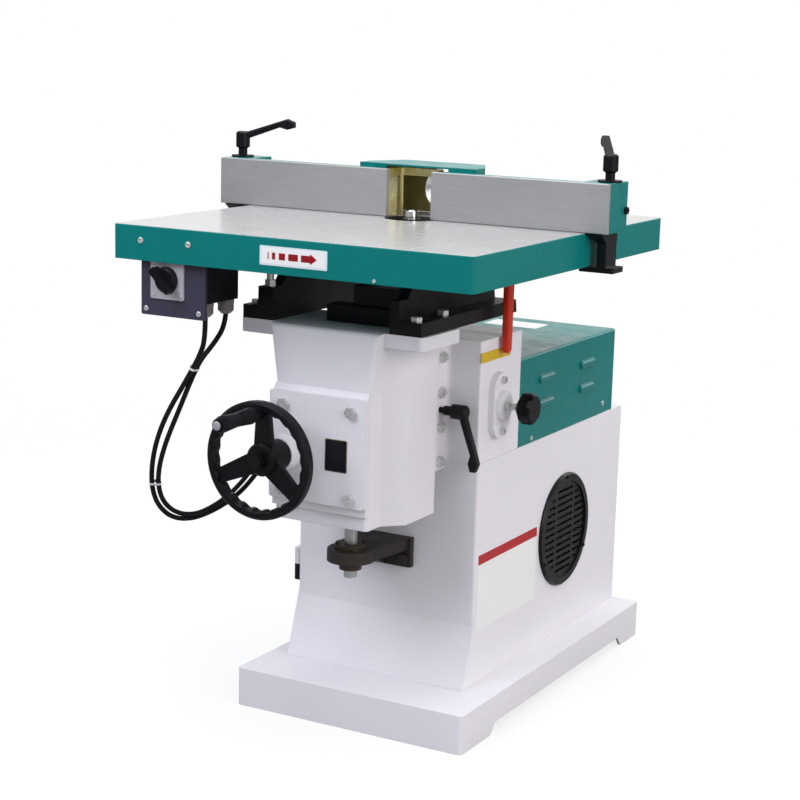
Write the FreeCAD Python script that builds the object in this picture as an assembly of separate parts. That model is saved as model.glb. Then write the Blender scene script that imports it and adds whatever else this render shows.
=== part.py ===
import FreeCAD, Part
import math
import os

os.makedirs("parts", exist_ok=True)
V = FreeCAD.Vector

# Spindle moulder with a rising table, in millimetres.
# X runs along the fence, Y from the operator to the back, Z up.
# The spindle axis stands at x = 0, y = 0 while the pieces are made.

# Fits and clearances shared by all pieces
overrun = 2.0
run_fit = 0.05
flat_gap = 0.1
free_gap = 0.3
bolt_fit = 0.3

# Base plinth, a folded tray
base_width = 440.0
base_offset = 10.0
base_front_y = -202.0
base_rear_y = 555.0
base_height = 67.0
base_wall = 5.0
base_fold_r = 7.0
base_flange = 45.0
foot_front = 108.0
foot_rear = 82.0
foot_lift = 19.0
foot_slope = 18.0

# Column, a sheet cabinet with a flared toe
column_width = 350.0
column_front_y = -62.0
column_height = 389.0
column_wall = 4.0
column_fold_r = 5.0
flare_height = 106.0
flare_out = 34.0
shaft_hole_r = 46.0

# Round vent grille on the right side of the column
grille_r = 106.0
grille_open_r = 91.0
grille_y = 296.0
grille_up = 198.0
grille_rim = 6.0
grille_sheet = 2.5
slot_pitch = 12.5
slot_height = 5.5
slot_rib = 9.0
slot_column_share = 0.36

# Access door on the left side of the column
door_front_y = -41.5
door_depth = 350.0
door_up = 109.0
door_top_drop = 56.0
door_sheet = 3.0
door_lap = 12.0
door_corner_r = 10.0
hinge_height = 58.0
hinge_inset = 18.0
hinge_leaf = 20.0
hinge_fixed_leaf = 8.0
hinge_leaf_t = 3.0
hinge_knuckle_r = 6.5
hinge_pin_r = 3.0
latch_r = 13.0
latch_h = 9.0
latch_inset = 24.0

# Head casting that carries the spindle and the slideway
head_width = 346.0
head_rear_y = 90.0
head_height = 208.0
head_wall = 14.0
head_floor = 22.0
head_roof = 26.0
head_edge_r = 4.0
way_width = 218.0
way_out = 50.0
way_drop = 15.0
way_fillet_r = 9.0
tail_mouth = 116.0
tail_depth = 28.0
tail_slope_share = 0.577
tail_gap = 0.15
gib_thickness = 8.0
gib_screw_r = 5.0
gib_screw_y = -82.0
gib_screw_low = 16.0
gib_screw_pitch = 59.0
gib_screw_count = 4
gib_nut_flats = 17.0
gib_nut_h = 7.0
gib_screw_end = 4.0

# Lever that locks the slide
slide_lever_rise = 88.0
slide_stud_r = 5.0
slide_hub_gap = 9.0

# Cranked clamping levers
lever_hub_r = 12.5
lever_neck_r = 8.0
lever_hub_h = 30.0
lever_neck_h = 12.0
lever_arm = 98.0
lever_rise = 30.0
lever_root_t = 13.0
lever_tip_t = 11.0
lever_width = 14.0
lever_hook = 8.0
lever_edge_r = 3.0

# Spindle lock on the right side of the head
lock_up = 92.0
lock_flange_h = 114.0
lock_flange_w = 62.0
lock_flange_t = 11.0
lock_boss_r = 27.0
lock_boss_h = 8.0
lock_pin_r = 8.0
lock_neck_r = 6.0
lock_travel = 9.0
lock_pin_short = 1.0
lock_screw_pitch = 88.0
lock_screw_head_r = 6.5
lock_screw_head_h = 6.0
lock_screw_hex_r = 3.2
star_r = 26.5
star_waist_r = 21.0
star_h = 31.0
star_gap = 22.0
star_lobes = 6
star_notch_r = 8.0

# Rear belt cover
cover_rear_y = 506.0
cover_height = 157.0
cover_sheet = 2.5
cover_fold_r = 5.0
cover_flange = 14.0
louver_length = 60.0
louver_r = 8.5
louver_wall = 2.0
louver_y_shares = (0.26, 0.69)
louver_z_shares = (0.40, 0.69)

# Motor, pulleys and flat belt
motor_y = 300.0
motor_r = 82.0
motor_length = 230.0
motor_flange_r = 100.0
motor_flange_t = 12.0
motor_fins = 28
motor_fin_depth = 5.0
motor_fin_width = 7.0
motor_cowl = 46.0
motor_shaft_r = 14.0
motor_pulley_r = 84.0
spindle_pulley_r = 36.0
pulley_web = 10.0
pulley_rim = 9.0
pulley_width = 40.0
pulley_up = 126.0
belt_width = 34.0
belt_thickness = 3.0

# Spindle
nose_r = 12.0
nose_height = 14.0
nose_bore_r = 7.0
nose_bore_depth = 16.0
nose_chamfer = 1.5
cutter_seat_r = 15.0
seat_length = 70.0
shoulder_r = 27.0
shoulder_h = 12.0
spindle_r = 20.0
bearing_r = 40.0
bearing_width = 20.0
lock_collar_r = 33.0
lock_collar_h = 22.0
lock_hole_count = 4
lock_hole_depth = 10.0
spindle_cap_r = 64.0
spindle_cap_t = 12.0
cap_bolt_count = 6
cap_bolt_circle = 54.0

# Knee casting that slides up the head
knee_drop = 81.0
knee_height = 321.0
knee_front_y = -281.0
knee_box_width = 176.0
knee_box_depth = 41.0
knee_shoulder_depth = 32.0
knee_width = 238.0
knee_rear_y = -112.2
knee_flare_height = 101.0
knee_flare = 14.0
knee_crown_r = 9.0
knee_edge_r = 8.0
knee_wall = 14.0
knee_floor = 20.0
flange_width = 344.0
flange_front_y = -262.0
flange_depth = 119.0
flange_thickness = 23.0
flange_corner_r = 12.0
pad_height = 196.0
pad_drop = 24.0
pad_out = 7.0
pad_bevel = 5.0
window_width = 104.0
window_height = 116.0

# Gear cover on the front of the knee
gear_cover_width = 180.0
gear_cover_height = 178.0
gear_cover_up = 38.0
gear_cover_t = 8.0
gear_cover_r = 5.0
cover_bolt_x = 63.0
cover_bolt_edge = 15.0
cover_bolt_top_edge = 21.0
bolt_flats = 17.0
bolt_head_h = 7.5
bolt_r = 5.0
bolt_length = 20.0

# Handwheel and its shaft
wheel_x = -60.0
wheel_up = 115.0
wheel_boss_r = 30.0
wheel_boss_h = 20.0
wheel_shaft_r = 10.0
dial_r = 25.0
dial_h = 24.0
dial_ticks = 24
dial_tick_depth = 1.2
dial_tick_width = 1.4
wheel_r = 96.0
rim_width = 16.0
rim_depth = 21.0
rim_out = 54.0
hub_r = 27.0
hub_length = 30.0
spoke_count = 3
spoke_angle = 85.0
spoke_root = 38.0
spoke_tip = 24.0
spoke_t = 9.0
scallop_count = 24
scallop_r = 8.0
scallop_bite = 4.6
wheel_nut_flats = 24.0
wheel_nut_h = 9.0
wheel_bolt_end = 5.0
handle_radius = 77.0
handle_r = 13.5
handle_waist_r = 11.0
handle_length = 100.0
handle_root = 7.0
handle_pin_r = 5.0
handle_cap_r = 8.5
handle_cap_h = 3.0

# Lift screw, its gears and the nut bracket
screw_y = -180.0
screw_r = 11.0
screw_end = 14.0
screw_collar_r = 21.0
screw_collar_h = 11.0
gear_r = 29.5
gear_width = 30.0
gear_teeth = 16
gear_tooth_depth = 4.0
gear_flank_shares = (0.0, 0.25, 0.5, 0.75)
bracket_drop = 165.0
bracket_arm_t = 21.0
bracket_end_r = 40.0
bracket_root = 100.0
bracket_flange_w = 112.0
bracket_flange_h = 52.0
bracket_flange_t = 12.0
bracket_rib_t = 14.0
bracket_rib_drop = 24.0
bracket_edge_r = 3.0
nut_r = 19.0
nut_flange_r = 27.0
nut_flange_t = 8.0
nut_length = 44.0
nut_bolt_circle = 23.0
nut_bolt_r = 2.0
bracket_bolt_x = 43.0
bracket_bolt_low = 14.0

# Arms that carry the table
arm_height = 140.0
arm_length = 342.0
arm_web_x = 109.0
arm_web_t = 17.0
arm_foot = 57.0
arm_foot_t = 22.0
arm_cap = 52.0
arm_cap_t = 12.0
arm_rear_slope = 26.0
arm_bolt_y = (-247.0, -158.0)
arm_bolt_x = 149.0
stud_lug_w = 11.0
stud_lug_h = 32.0
stud_lug_d = 26.0
stud_from_front = 14.0
arm_front_slope = 82.0
stud_r = 6.0
stud_nut_flats = 17.0
stud_nut_h = 10.0
tie_depth = 40.0
tie_front_y = -206.0
tie_low_h = 28.0
tie_high_h = 33.0
tie_low_left = -40.0
tie_high_left = 4.0
cap_screw_head_r = 6.5
cap_screw_head_h = 8.0
cap_screw_y_shares = (0.45, 0.88)

# Table clamp lever on the right arm
clamp_from_end = 72.0
clamp_up = 68.0
clamp_stud_r = 6.0
clamp_stud_out = 65.0
clamp_hub_r = 16.0
clamp_t = 13.0
clamp_arm = 128.0
clamp_root_w = 21.0
clamp_tip_w = 18.0
clamp_edge_r = 4.0
clamp_pin_head_r = 10.0
clamp_pin_head_h = 6.0

# Table
table_width = 648.0
table_front_y = -401.0
table_rear_y = 330.0
table_skirt = 56.0
table_plate = 14.0
table_wall = 9.0
table_corner_r = 7.0
table_edge_r = 1.5
table_hole_r = 46.0
table_boss_r = 66.0
table_boss_h = 16.0
table_rib_t = 10.0
table_rib_h = 24.0
table_rib_y = (150.0, 240.0)

# Fence with its clamps
fence_overhang = 50.0
fence_shift = -12.0
fence_height = 81.0
fence_lift = 0.3
fence_front_y = -8.0
plate_t = 8.0
gap_left = -46.0
gap_right = 40.0
plate_edge = 1.2
carrier_wall = 14.0
carrier_depth = 75.0
carrier_foot_t = 14.0
carrier_inner = 66.0
end_block = 54.0
carrier_rib_t = 10.0
carrier_rib_share = 0.42
carrier_edge_r = 2.5
foot_inner = 168.0
hood_half = 150.0
hood_rear_half = 77.0
hood_side = 34.0
hood_depth = 105.0
hood_height = 88.0
hood_sheet = 3.0
hood_mouth_half = 60.0
port_r = 40.0
port_wall = 2.5
port_length = 30.0
port_z_up = 41.0
liner_wall = 2.0
liner_depth = 46.0
liner_band = 13.0
liner_side = 5.0
liner_corner_r = 16.0
plate_screw_x_shares = (0.2, 0.8)
plate_screw_hex_r = 3.0
plate_screw_head_r = 6.0
plate_screw_head_h = 5.0
side_screw_up = 34.0
side_screw_share = 0.87

# Fence clamps
clamp_post_r = 6.0
clamp_inset = 17.0
clamp_post_y = 36.0
clamp_washer_r = 20.0
clamp_washer_t = 3.0
hook_width = 44.0
hook_web = 17.0
hook_toe = 18.0
hook_foot_out = 13.0
hook_brace_out = 22.0
hook_brace_h = 16.0
hook_toe_t = 9.0
hook_edge_r = 2.0
left_lever_aim = (1.0, 0.25, 0)
right_lever_aim = (-0.5, 0.87, 0)

# Switch box under the left front of the table
panel_inset = 46.0
panel_width = 124.0
panel_height = 122.0
panel_t = 5.0
panel_setback = 13.0
panel_corner_r = 3.0
box_inset = 7.0
box_depth = 102.0
box_up = 24.0
box_wall = 3.0
box_corner_r = 6.0
box_roof_gap = 8.0
switch_plate_w = 64.0
switch_plate_h = 64.0
switch_plate_t = 3.0
switch_plate_x_share = 0.42
switch_z_up = 60.0
switch_r = 21.0
switch_h = 9.0
switch_grip_w = 11.0
switch_grip_h = 13.0
switch_grip_over = 3.0
switch_grip_turn = 45.0
switch_shaft_r = 4.0
gland_r = 13.0
gland_nut_flats = 26.0
gland_nut_h = 8.0
gland_dome_h = 16.0
gland_from_left = (98.0, 102.0)
gland_from_front = (51.0, 103.0)

# Cables between the switch box and the column
cable_r = 4.2
cable_entry_drop = 28.0
cable_entry_y = (-14.0, -44.0)
entry_gland_h = 16.0
entry_gland_r = 12.0
bend_share = 0.45
cable_a_route = (
    (-180, -350, 240), (-191, -349, 214), (-206, -347, 190), (-229, -344, 156), (-254, -340, 121),
    (-276, -335, 85), (-294, -329, 47), (-307, -321, 7), (-315, -310, -31), (-315, -293, -67),
    (-302, -270, -94), (-284, -240, -101), (-270, -204, -95), (-260, -164, -83), (-254, -124, -67),
    (-252, -87, -45), (-250, -55, -23), (-242, -35, -10), (-227, -21, -3), (-207, -14, 0),
)
cable_b_route = (
    (-176, -298, 252), (-186, -309, 226), (-199, -324, 203), (-211, -335, 176), (-226, -338, 146),
    (-242, -336, 113), (-260, -331, 81), (-278, -325, 47), (-295, -317, 8), (-305, -306, -28),
    (-306, -289, -61), (-294, -266, -83), (-278, -237, -89), (-267, -201, -82), (-258, -162, -67),
    (-253, -128, -48), (-251, -102, -31), (-248, -81, -18), (-240, -63, -8), (-226, -51, -3), (-207, -44, 0),
)


def block(x0, x1, y0, y1, z0, z1):
    return Part.makeBox(x1 - x0, y1 - y0, z1 - z0, V(x0, y0, z0))


def rod(radius, start, end):
    start = V(*start)
    way = V(*end) - start
    return Part.makeCylinder(radius, way.Length, start, way)


def loop(points):
    return Part.makePolygon([V(*p) for p in points] + [V(*points[0])])


def prism(points, way):
    return Part.Face(loop(points)).extrude(V(*way))


def prism_x(points, x0, x1):
    return prism([(x0, y, z) for y, z in points], (x1 - x0, 0, 0))


def prism_y(points, y0, y1):
    return prism([(x, y0, z) for x, z in points], (0, y1 - y0, 0))


def prism_z(points, z0, z1):
    return prism([(x, y, z0) for x, y in points], (0, 0, z1 - z0))


def turned(profile, place, way):
    face = Part.Face(loop([(r, 0, h) for r, h in profile]))
    body = face.revolve(V(0, 0, 0), V(0, 0, 1), 360)
    body.Placement = FreeCAD.Placement(V(*place), FreeCAD.Rotation(V(0, 0, 1), V(*way)))
    return body


def hexagon(flats, height, place, way):
    corner = flats / math.sqrt(3)
    ring = [(corner * math.cos(math.radians(60 * i)), corner * math.sin(math.radians(60 * i)), 0)
            for i in range(6)]
    body = Part.Face(loop(ring)).extrude(V(0, 0, height))
    body.Placement = FreeCAD.Placement(V(*place), FreeCAD.Rotation(V(0, 0, 1), V(*way)))
    return body


def step(place, way, distance):
    return tuple(p + w * distance for p, w in zip(place, way))


def hex_bolt(flats, head, radius, length, place, way):
    shank = rod(radius, step(place, way, -length), place)
    return hexagon(flats, head, place, way).fuse(shank)


def socket_head(head_r, head_h, hex_r, place, way):
    pocket = hexagon(hex_r * math.sqrt(3), head_h, step(place, way, head_h / 2), way)
    return rod(head_r, place, step(place, way, head_h)).cut(pocket)


def is_along(edge, axis):
    if edge.Curve.TypeId != "Part::GeomLine":
        return False
    way = edge.Vertexes[1].Point - edge.Vertexes[0].Point
    return abs(way.normalize().dot(V(*axis))) > 0.999


def rounded(shape, radius, axis, keep):
    picked = [e for e in shape.Edges if is_along(e, axis) and keep(e.CenterOfMass)]
    return shape.makeFillet(radius, picked)


def group(pieces):
    return Part.makeCompound(pieces)


def mirrored(shape):
    return shape.mirror(V(0, 0, 0), V(1, 0, 0))


base_top_z = base_height
column_top_z = base_top_z + column_height
column_x = column_width / 2
head_top_z = column_top_z + head_height
head_x = head_width / 2
cover_top_z = column_top_z + cover_height
way_x = way_width / 2
way_front_y = column_front_y - way_out
way_low_z = column_top_z - way_drop
lock_z = column_top_z + lock_up
knee_bottom_z = column_top_z - knee_drop
wheel_z = knee_bottom_z + wheel_up
bracket_z = column_top_z - bracket_drop
cable_entry_z = column_top_z - cable_entry_drop
grille_z = base_top_z + grille_up
door_low_z = base_top_z + door_up
door_top_z = column_top_z - door_top_drop
knee_top_z = knee_bottom_z + knee_height
arm_low_z = knee_top_z
table_under_z = arm_low_z + arm_height
table_top_z = table_under_z + table_plate
table_low_z = table_top_z - table_skirt
table_x = table_width / 2
fence_half = table_x + fence_overhang
fence_low_z = table_top_z + fence_lift
fence_top_z = fence_low_z + fence_height
pulley_z = column_top_z + pulley_up
gear_cover_low_z = knee_bottom_z + gear_cover_up
gear_cover_y = knee_front_y - pad_out
gear_cover_front_y = gear_cover_y - gear_cover_t
boss_front_y = gear_cover_front_y - wheel_boss_h
rim_y = boss_front_y - rim_out
hub_rear_y = boss_front_y - dial_h - flat_gap - free_gap
hub_front_y = hub_rear_y - hub_length
handle_front_y = rim_y - rim_depth / 2 - handle_root - handle_length - handle_cap_h
frame_shift = V(-fence_shift, -(base_rear_y + handle_front_y) / 2, 0)


def save(name, shape):
    shape.translated(frame_shift).exportStep("parts/" + name + ".step")


# Base plinth: folded tray with return flanges front and back and relieved side skirts
base_x = base_width / 2
tray = block(-base_x, base_x, base_front_y, base_rear_y, 0, base_height)
tray = rounded(tray, base_fold_r, (0, 0, 1), lambda c: True)
hollow = block(-base_x + base_wall, base_x - base_wall, base_front_y + base_wall, base_rear_y - base_wall,
               -overrun, base_height - base_wall)
tray = tray.cut(hollow)
for flange_y in (base_front_y + base_wall, base_rear_y - base_wall - base_flange):
    tray = tray.fuse(block(-base_x + base_wall, base_x - base_wall, flange_y, flange_y + base_flange, 0,
                           base_wall))
relief = prism_x([(base_front_y + foot_front, -overrun),
                  (base_front_y + foot_front, 0),
                  (base_front_y + foot_front + foot_slope, foot_lift),
                  (base_rear_y - foot_rear - foot_slope, foot_lift),
                  (base_rear_y - foot_rear, 0),
                  (base_rear_y - foot_rear, -overrun)], -base_x - overrun, base_x + overrun)
save("base_plinth", tray.cut(relief).removeSplitter().translated(V(base_offset, 0, 0)))

# Column: sheet cabinet, flared at the toe, open below, with vent, door and shaft openings
toe_z = base_top_z + flare_height
toe_y = column_front_y - flare_out
side = [(column_front_y, column_top_z), (column_front_y, toe_z), (toe_y, base_top_z),
        (base_rear_y, base_top_z), (base_rear_y, column_top_z)]
inner_side = [(column_front_y + column_wall, column_top_z - column_wall),
              (column_front_y + column_wall, toe_z),
              (toe_y + column_wall, base_top_z), (toe_y + column_wall, base_top_z - overrun),
              (base_rear_y - column_wall, base_top_z - overrun),
              (base_rear_y - column_wall, column_top_z - column_wall)]
cabinet = prism_x(side, -column_x, column_x)
cabinet = rounded(cabinet, column_fold_r, (0, 0, 1), lambda c: True)
cabinet = cabinet.cut(prism_x(inner_side, -column_x + column_wall, column_x - column_wall))
cabinet = cabinet.cut(rod(grille_open_r, (column_x - column_wall - overrun, grille_y, grille_z),
                          (column_x + overrun, grille_y, grille_z)))
door_rear_y = door_front_y + door_depth
cabinet = cabinet.cut(block(-column_x - overrun, -column_x + column_wall + overrun, door_front_y + door_lap,
                            door_rear_y - door_lap, door_low_z + door_lap, door_top_z - door_lap))
cabinet = cabinet.cut(rod(shaft_hole_r, (0, motor_y, column_top_z - column_wall - overrun),
                          (0, motor_y, column_top_z + overrun)))
save("column_shell", cabinet)

# Vent grille: rimmed disc with three columns of level slots, set against the column wall
face_x = column_x
rim = [(0, 0), (grille_r, 0), (grille_r, grille_rim / 2), (grille_r - grille_rim / 2, grille_rim),
       (grille_open_r, grille_rim), (grille_open_r, grille_sheet), (0, grille_sheet)]
disc = turned(rim, (face_x, grille_y, grille_z), (1, 0, 0))
slots = []
rows = int((grille_open_r - slot_rib) / slot_pitch)
for row in range(-rows, rows + 1):
    rise = row * slot_pitch
    reach = math.sqrt((grille_open_r - slot_rib / 2) ** 2 - (abs(rise) + slot_height / 2) ** 2)
    middle = min(slot_column_share * grille_open_r, reach)
    spans = [(-middle, middle)]
    if reach > middle + slot_rib * 2:
        spans += [(middle + slot_rib, reach), (-reach, -middle - slot_rib)]
    for low, high in spans:
        slots.append(block(face_x - overrun, face_x + grille_rim, grille_y + low, grille_y + high,
                           grille_z + rise - slot_height / 2, grille_z + rise + slot_height / 2))
save("vent_grille", disc.cut(slots))

# Access door with two lift-off hinges near its front edge and a quarter-turn latch
door_x = -column_x - flat_gap
door = block(door_x - door_sheet, door_x, door_front_y, door_rear_y, door_low_z, door_top_z)
door = rounded(door, door_corner_r, (1, 0, 0), lambda c: True)
hinge_x = door_x - door_sheet - hinge_knuckle_r
hinge_y = door_front_y - hinge_knuckle_r
fixed_leaves = []
door_leaves = []
for hinge_low in (door_low_z + hinge_inset, door_top_z - hinge_inset - hinge_height):
    hinge_mid = hinge_low + hinge_height / 2
    hinge_high = hinge_low + hinge_height
    lower = rod(hinge_knuckle_r, (hinge_x, hinge_y, hinge_low), (hinge_x, hinge_y, hinge_mid - flat_gap))
    lower = lower.fuse(block(hinge_x, -column_x, hinge_y - hinge_leaf_t / 2, hinge_y + hinge_leaf_t / 2,
                             hinge_low, hinge_mid - flat_gap))
    lower = lower.fuse(block(-column_x - hinge_leaf_t, -column_x, hinge_y - hinge_fixed_leaf, hinge_y,
                             hinge_low, hinge_mid - flat_gap))
    lower = lower.fuse(rod(hinge_pin_r, (hinge_x, hinge_y, hinge_mid - hinge_leaf_t),
                           (hinge_x, hinge_y, hinge_high - hinge_leaf_t)))
    fixed_leaves.append(lower)
    upper = rod(hinge_knuckle_r, (hinge_x, hinge_y, hinge_mid), (hinge_x, hinge_y, hinge_high))
    upper = upper.fuse(block(hinge_x - hinge_knuckle_r, door_x - door_sheet, hinge_y, hinge_y + hinge_leaf,
                             hinge_mid, hinge_high))
    upper = upper.cut(rod(hinge_pin_r + run_fit, (hinge_x, hinge_y, hinge_mid - overrun),
                          (hinge_x, hinge_y, hinge_high - hinge_leaf_t + free_gap)))
    door_leaves.append(upper)
save("access_door", door.fuse(door_leaves))
save("door_hinges", group(fixed_leaves))
latch_place = (door_x - door_sheet, door_rear_y - latch_inset, (door_low_z + door_top_z) / 2)
latch = turned([(0, 0), (latch_r, 0), (latch_r, latch_h / 2), (latch_r - latch_h / 2, latch_h), (0, latch_h)],
               latch_place, (-1, 0, 0))
latch = latch.cut(block(latch_place[0] - latch_h - overrun, latch_place[0] - latch_h / 2,
                        latch_place[1] - latch_h / 6, latch_place[1] + latch_h / 6,
                        latch_place[2] - latch_r / 2, latch_place[2] + latch_r / 2))
save("door_latch", latch)

# Head casting: open-backed box with a dovetailed slideway on its front
tail_slope = tail_depth * tail_slope_share
mouth_x = tail_mouth / 2
tail_y = way_front_y + tail_depth
head = prism_z([(-head_x, head_rear_y), (-head_x, column_front_y), (-way_x, column_front_y),
                (-way_x, way_front_y),
                (way_x, way_front_y), (way_x, column_front_y), (head_x, column_front_y), (head_x,
                                                                                          head_rear_y)],
               column_top_z, head_top_z)
head = rounded(head, head_edge_r, (0, 0, 1), lambda c: abs(c.x) > head_x - flat_gap and c.y < 0)
head = rounded(head, way_fillet_r, (0, 0, 1),
               lambda c: abs(c.x) < way_x + flat_gap and c.y > column_front_y - flat_gap)
head = head.fuse(block(-way_x, way_x, way_front_y, column_front_y - flat_gap, way_low_z, column_top_z))
groove = [(-mouth_x, way_front_y - overrun), (-mouth_x, way_front_y), (-mouth_x - tail_slope, tail_y),
          (mouth_x + gib_thickness + tail_slope, tail_y), (mouth_x + gib_thickness, way_front_y),
          (mouth_x + gib_thickness, way_front_y - overrun)]
head = head.cut(prism_z(groove, way_low_z - overrun, head_top_z + overrun))
cavity = block(-head_x + head_wall, head_x - head_wall, column_front_y + head_wall, head_rear_y + overrun,
               column_top_z + head_floor, head_top_z - head_roof)
head = head.cut(cavity)
head = head.cut(rod(bearing_r + run_fit, (0, 0, column_top_z - overrun),
                    (0, 0, column_top_z + head_floor + overrun)))
head = head.cut(rod(bearing_r + run_fit, (0, 0, head_top_z - head_roof - overrun),
                    (0, 0, head_top_z + overrun)))
lock_bore_r = lock_pin_r + run_fit
head = head.cut(rod(lock_bore_r, (head_x - head_wall - overrun, 0, lock_z), (head_x + overrun, 0, lock_z)))
gib_screw_z = [way_low_z + gib_screw_low + gib_screw_pitch * i for i in range(gib_screw_count)]
slide_lever_z = way_low_z + gib_screw_low + slide_lever_rise
for z in gib_screw_z:
    head = head.cut(rod(gib_screw_r + run_fit, (mouth_x, gib_screw_y, z), (way_x + overrun, gib_screw_y, z)))
head = head.cut(rod(slide_stud_r + run_fit, (mouth_x, gib_screw_y, slide_lever_z),
                    (way_x + overrun, gib_screw_y, slide_lever_z)))
save("head_casting", head)

# Gib strip along the right flank of the dovetail, with its adjusting screws and nuts
gib_low = [(mouth_x + flat_gap, way_front_y), (mouth_x + tail_slope + flat_gap, tail_y - flat_gap),
           (mouth_x + gib_thickness + tail_slope - flat_gap, tail_y - flat_gap),
           (mouth_x + gib_thickness - flat_gap, way_front_y)]
gib = prism_z(gib_low, way_low_z, head_top_z)
save("slide_gib", gib)
gib_tip_x = mouth_x + gib_thickness + tail_slope_share * (gib_screw_y + gib_screw_r - way_front_y) + flat_gap
screws = []
for z in gib_screw_z:
    screw = rod(gib_screw_r, (gib_tip_x, gib_screw_y, z), (way_x + gib_nut_h + gib_screw_end, gib_screw_y, z))
    screws.append(screw.fuse(hexagon(gib_nut_flats, gib_nut_h, (way_x, gib_screw_y, z), (1, 0, 0))))
save("gib_screws", group(screws))


def clamp_lever(place, way, reach):
    # Hub of revolution with a flat-sided arm that rises outward and hooks down at its tip
    top = lever_neck_h + lever_hub_h
    hub = turned([(0, 0), (lever_neck_r, 0), (lever_neck_r, lever_neck_h),
                  (lever_hub_r, lever_neck_h + lever_neck_h / 4),
                  (lever_hub_r, top - lever_edge_r), (lever_hub_r - lever_edge_r, top), (0, top)],
                 (0, 0, 0), (0, 0, 1))
    root_low = top - lever_edge_r - lever_root_t
    tip_low = root_low + lever_rise
    outline = [(0, root_low), (lever_arm - lever_width * 2, tip_low - lever_width * lever_rise / lever_arm),
               (lever_arm - lever_width, tip_low - lever_hook), (lever_arm, tip_low - lever_hook / 2),
               (lever_arm, tip_low + lever_tip_t / 2), (lever_arm - lever_width, tip_low + lever_tip_t),
               (0, root_low + lever_root_t)]
    arm = prism([(x, -lever_width / 2, z) for x, z in outline], (0, lever_width, 0))
    arm = arm.makeFillet(lever_edge_r, [e for e in arm.Edges if not is_along(e, (0, 1, 0))
                                        and e.CenterOfMass.x > 0])
    body = hub.fuse(arm)
    level = FreeCAD.Rotation(V(0, 0, 1), V(*way))
    aim = level.multVec(V(1, 0, 0))
    want = V(*reach)
    swing = math.degrees(aim.getAngle(want))
    if aim.cross(want).dot(V(*way)) < 0:
        swing = -swing
    body.Placement = FreeCAD.Placement(V(*place), FreeCAD.Rotation(V(*way), swing).multiply(level))
    return body


# Slide lock lever and its stud through the slideway
slide_hub_x = way_x + slide_hub_gap
slide_lever = clamp_lever((slide_hub_x, gib_screw_y, slide_lever_z), (1, 0, 0), (0, 0, -1))
slide_stud = rod(slide_stud_r, (gib_tip_x, gib_screw_y, slide_lever_z),
                 (slide_hub_x + lever_neck_h, gib_screw_y, slide_lever_z))
save("slide_lock_lever", slide_lever.fuse(slide_stud))

# Spindle lock: oval flange with a round boss, two socket screws, sprung pin and star knob
half = lock_flange_h / 2
end_r = lock_flange_w / 2
bar = block(head_x, head_x + lock_flange_t, -end_r, end_r, lock_z - half + end_r, lock_z + half - end_r)
oval = bar
for z in (lock_z - half + end_r, lock_z + half - end_r):
    oval = oval.fuse(rod(end_r, (head_x, 0, z), (head_x + lock_flange_t, 0, z)))
oval = oval.removeSplitter()
boss_x = head_x + lock_flange_t
oval = oval.fuse(turned([(0, 0), (lock_boss_r, 0), (lock_boss_r - lock_boss_h / 4, lock_boss_h),
                         (0, lock_boss_h)],
                        (boss_x, 0, lock_z), (1, 0, 0)))
oval = oval.cut(rod(lock_bore_r, (head_x - overrun, 0, lock_z), (boss_x + lock_boss_h + overrun, 0, lock_z)))
save("lock_flange", oval)
lock_screws = []
for side_z in (-1, 1):
    place = (boss_x, 0, lock_z + side_z * lock_screw_pitch / 2)
    lock_screws.append(socket_head(lock_screw_head_r, lock_screw_head_h, lock_screw_hex_r, place, (1, 0, 0)))
save("lock_flange_screws", group(lock_screws))
pin_tip_x = lock_collar_r + lock_pin_short + lock_travel
pin_end_x = boss_x + lock_boss_h
pin = rod(lock_pin_r, (pin_tip_x, 0, lock_z), (pin_end_x + lock_travel, 0, lock_z))
pin = pin.fuse(rod(lock_neck_r, (pin_end_x, 0, lock_z), (pin_end_x + star_gap, 0, lock_z)))
save("lock_pin", pin)
star_x = pin_end_x + star_gap
star = turned([(0, 0), (star_waist_r / 2, 0), (star_r, star_h / 3), (star_r, star_h - star_h / 8),
               (star_r - star_h / 8, star_h), (0, star_h)], (star_x, 0, lock_z), (1, 0, 0))
notches = []
for i in range(star_lobes):
    turn = math.radians(360 / star_lobes * i)
    notch_r = star_waist_r + star_notch_r
    notches.append(rod(star_notch_r, (star_x - overrun, notch_r * math.cos(turn),
                                      lock_z + notch_r * math.sin(turn)),
                       (star_x + star_h + overrun, notch_r * math.cos(turn),
                        lock_z + notch_r * math.sin(turn))))
save("star_knob", star.cut(notches))

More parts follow.
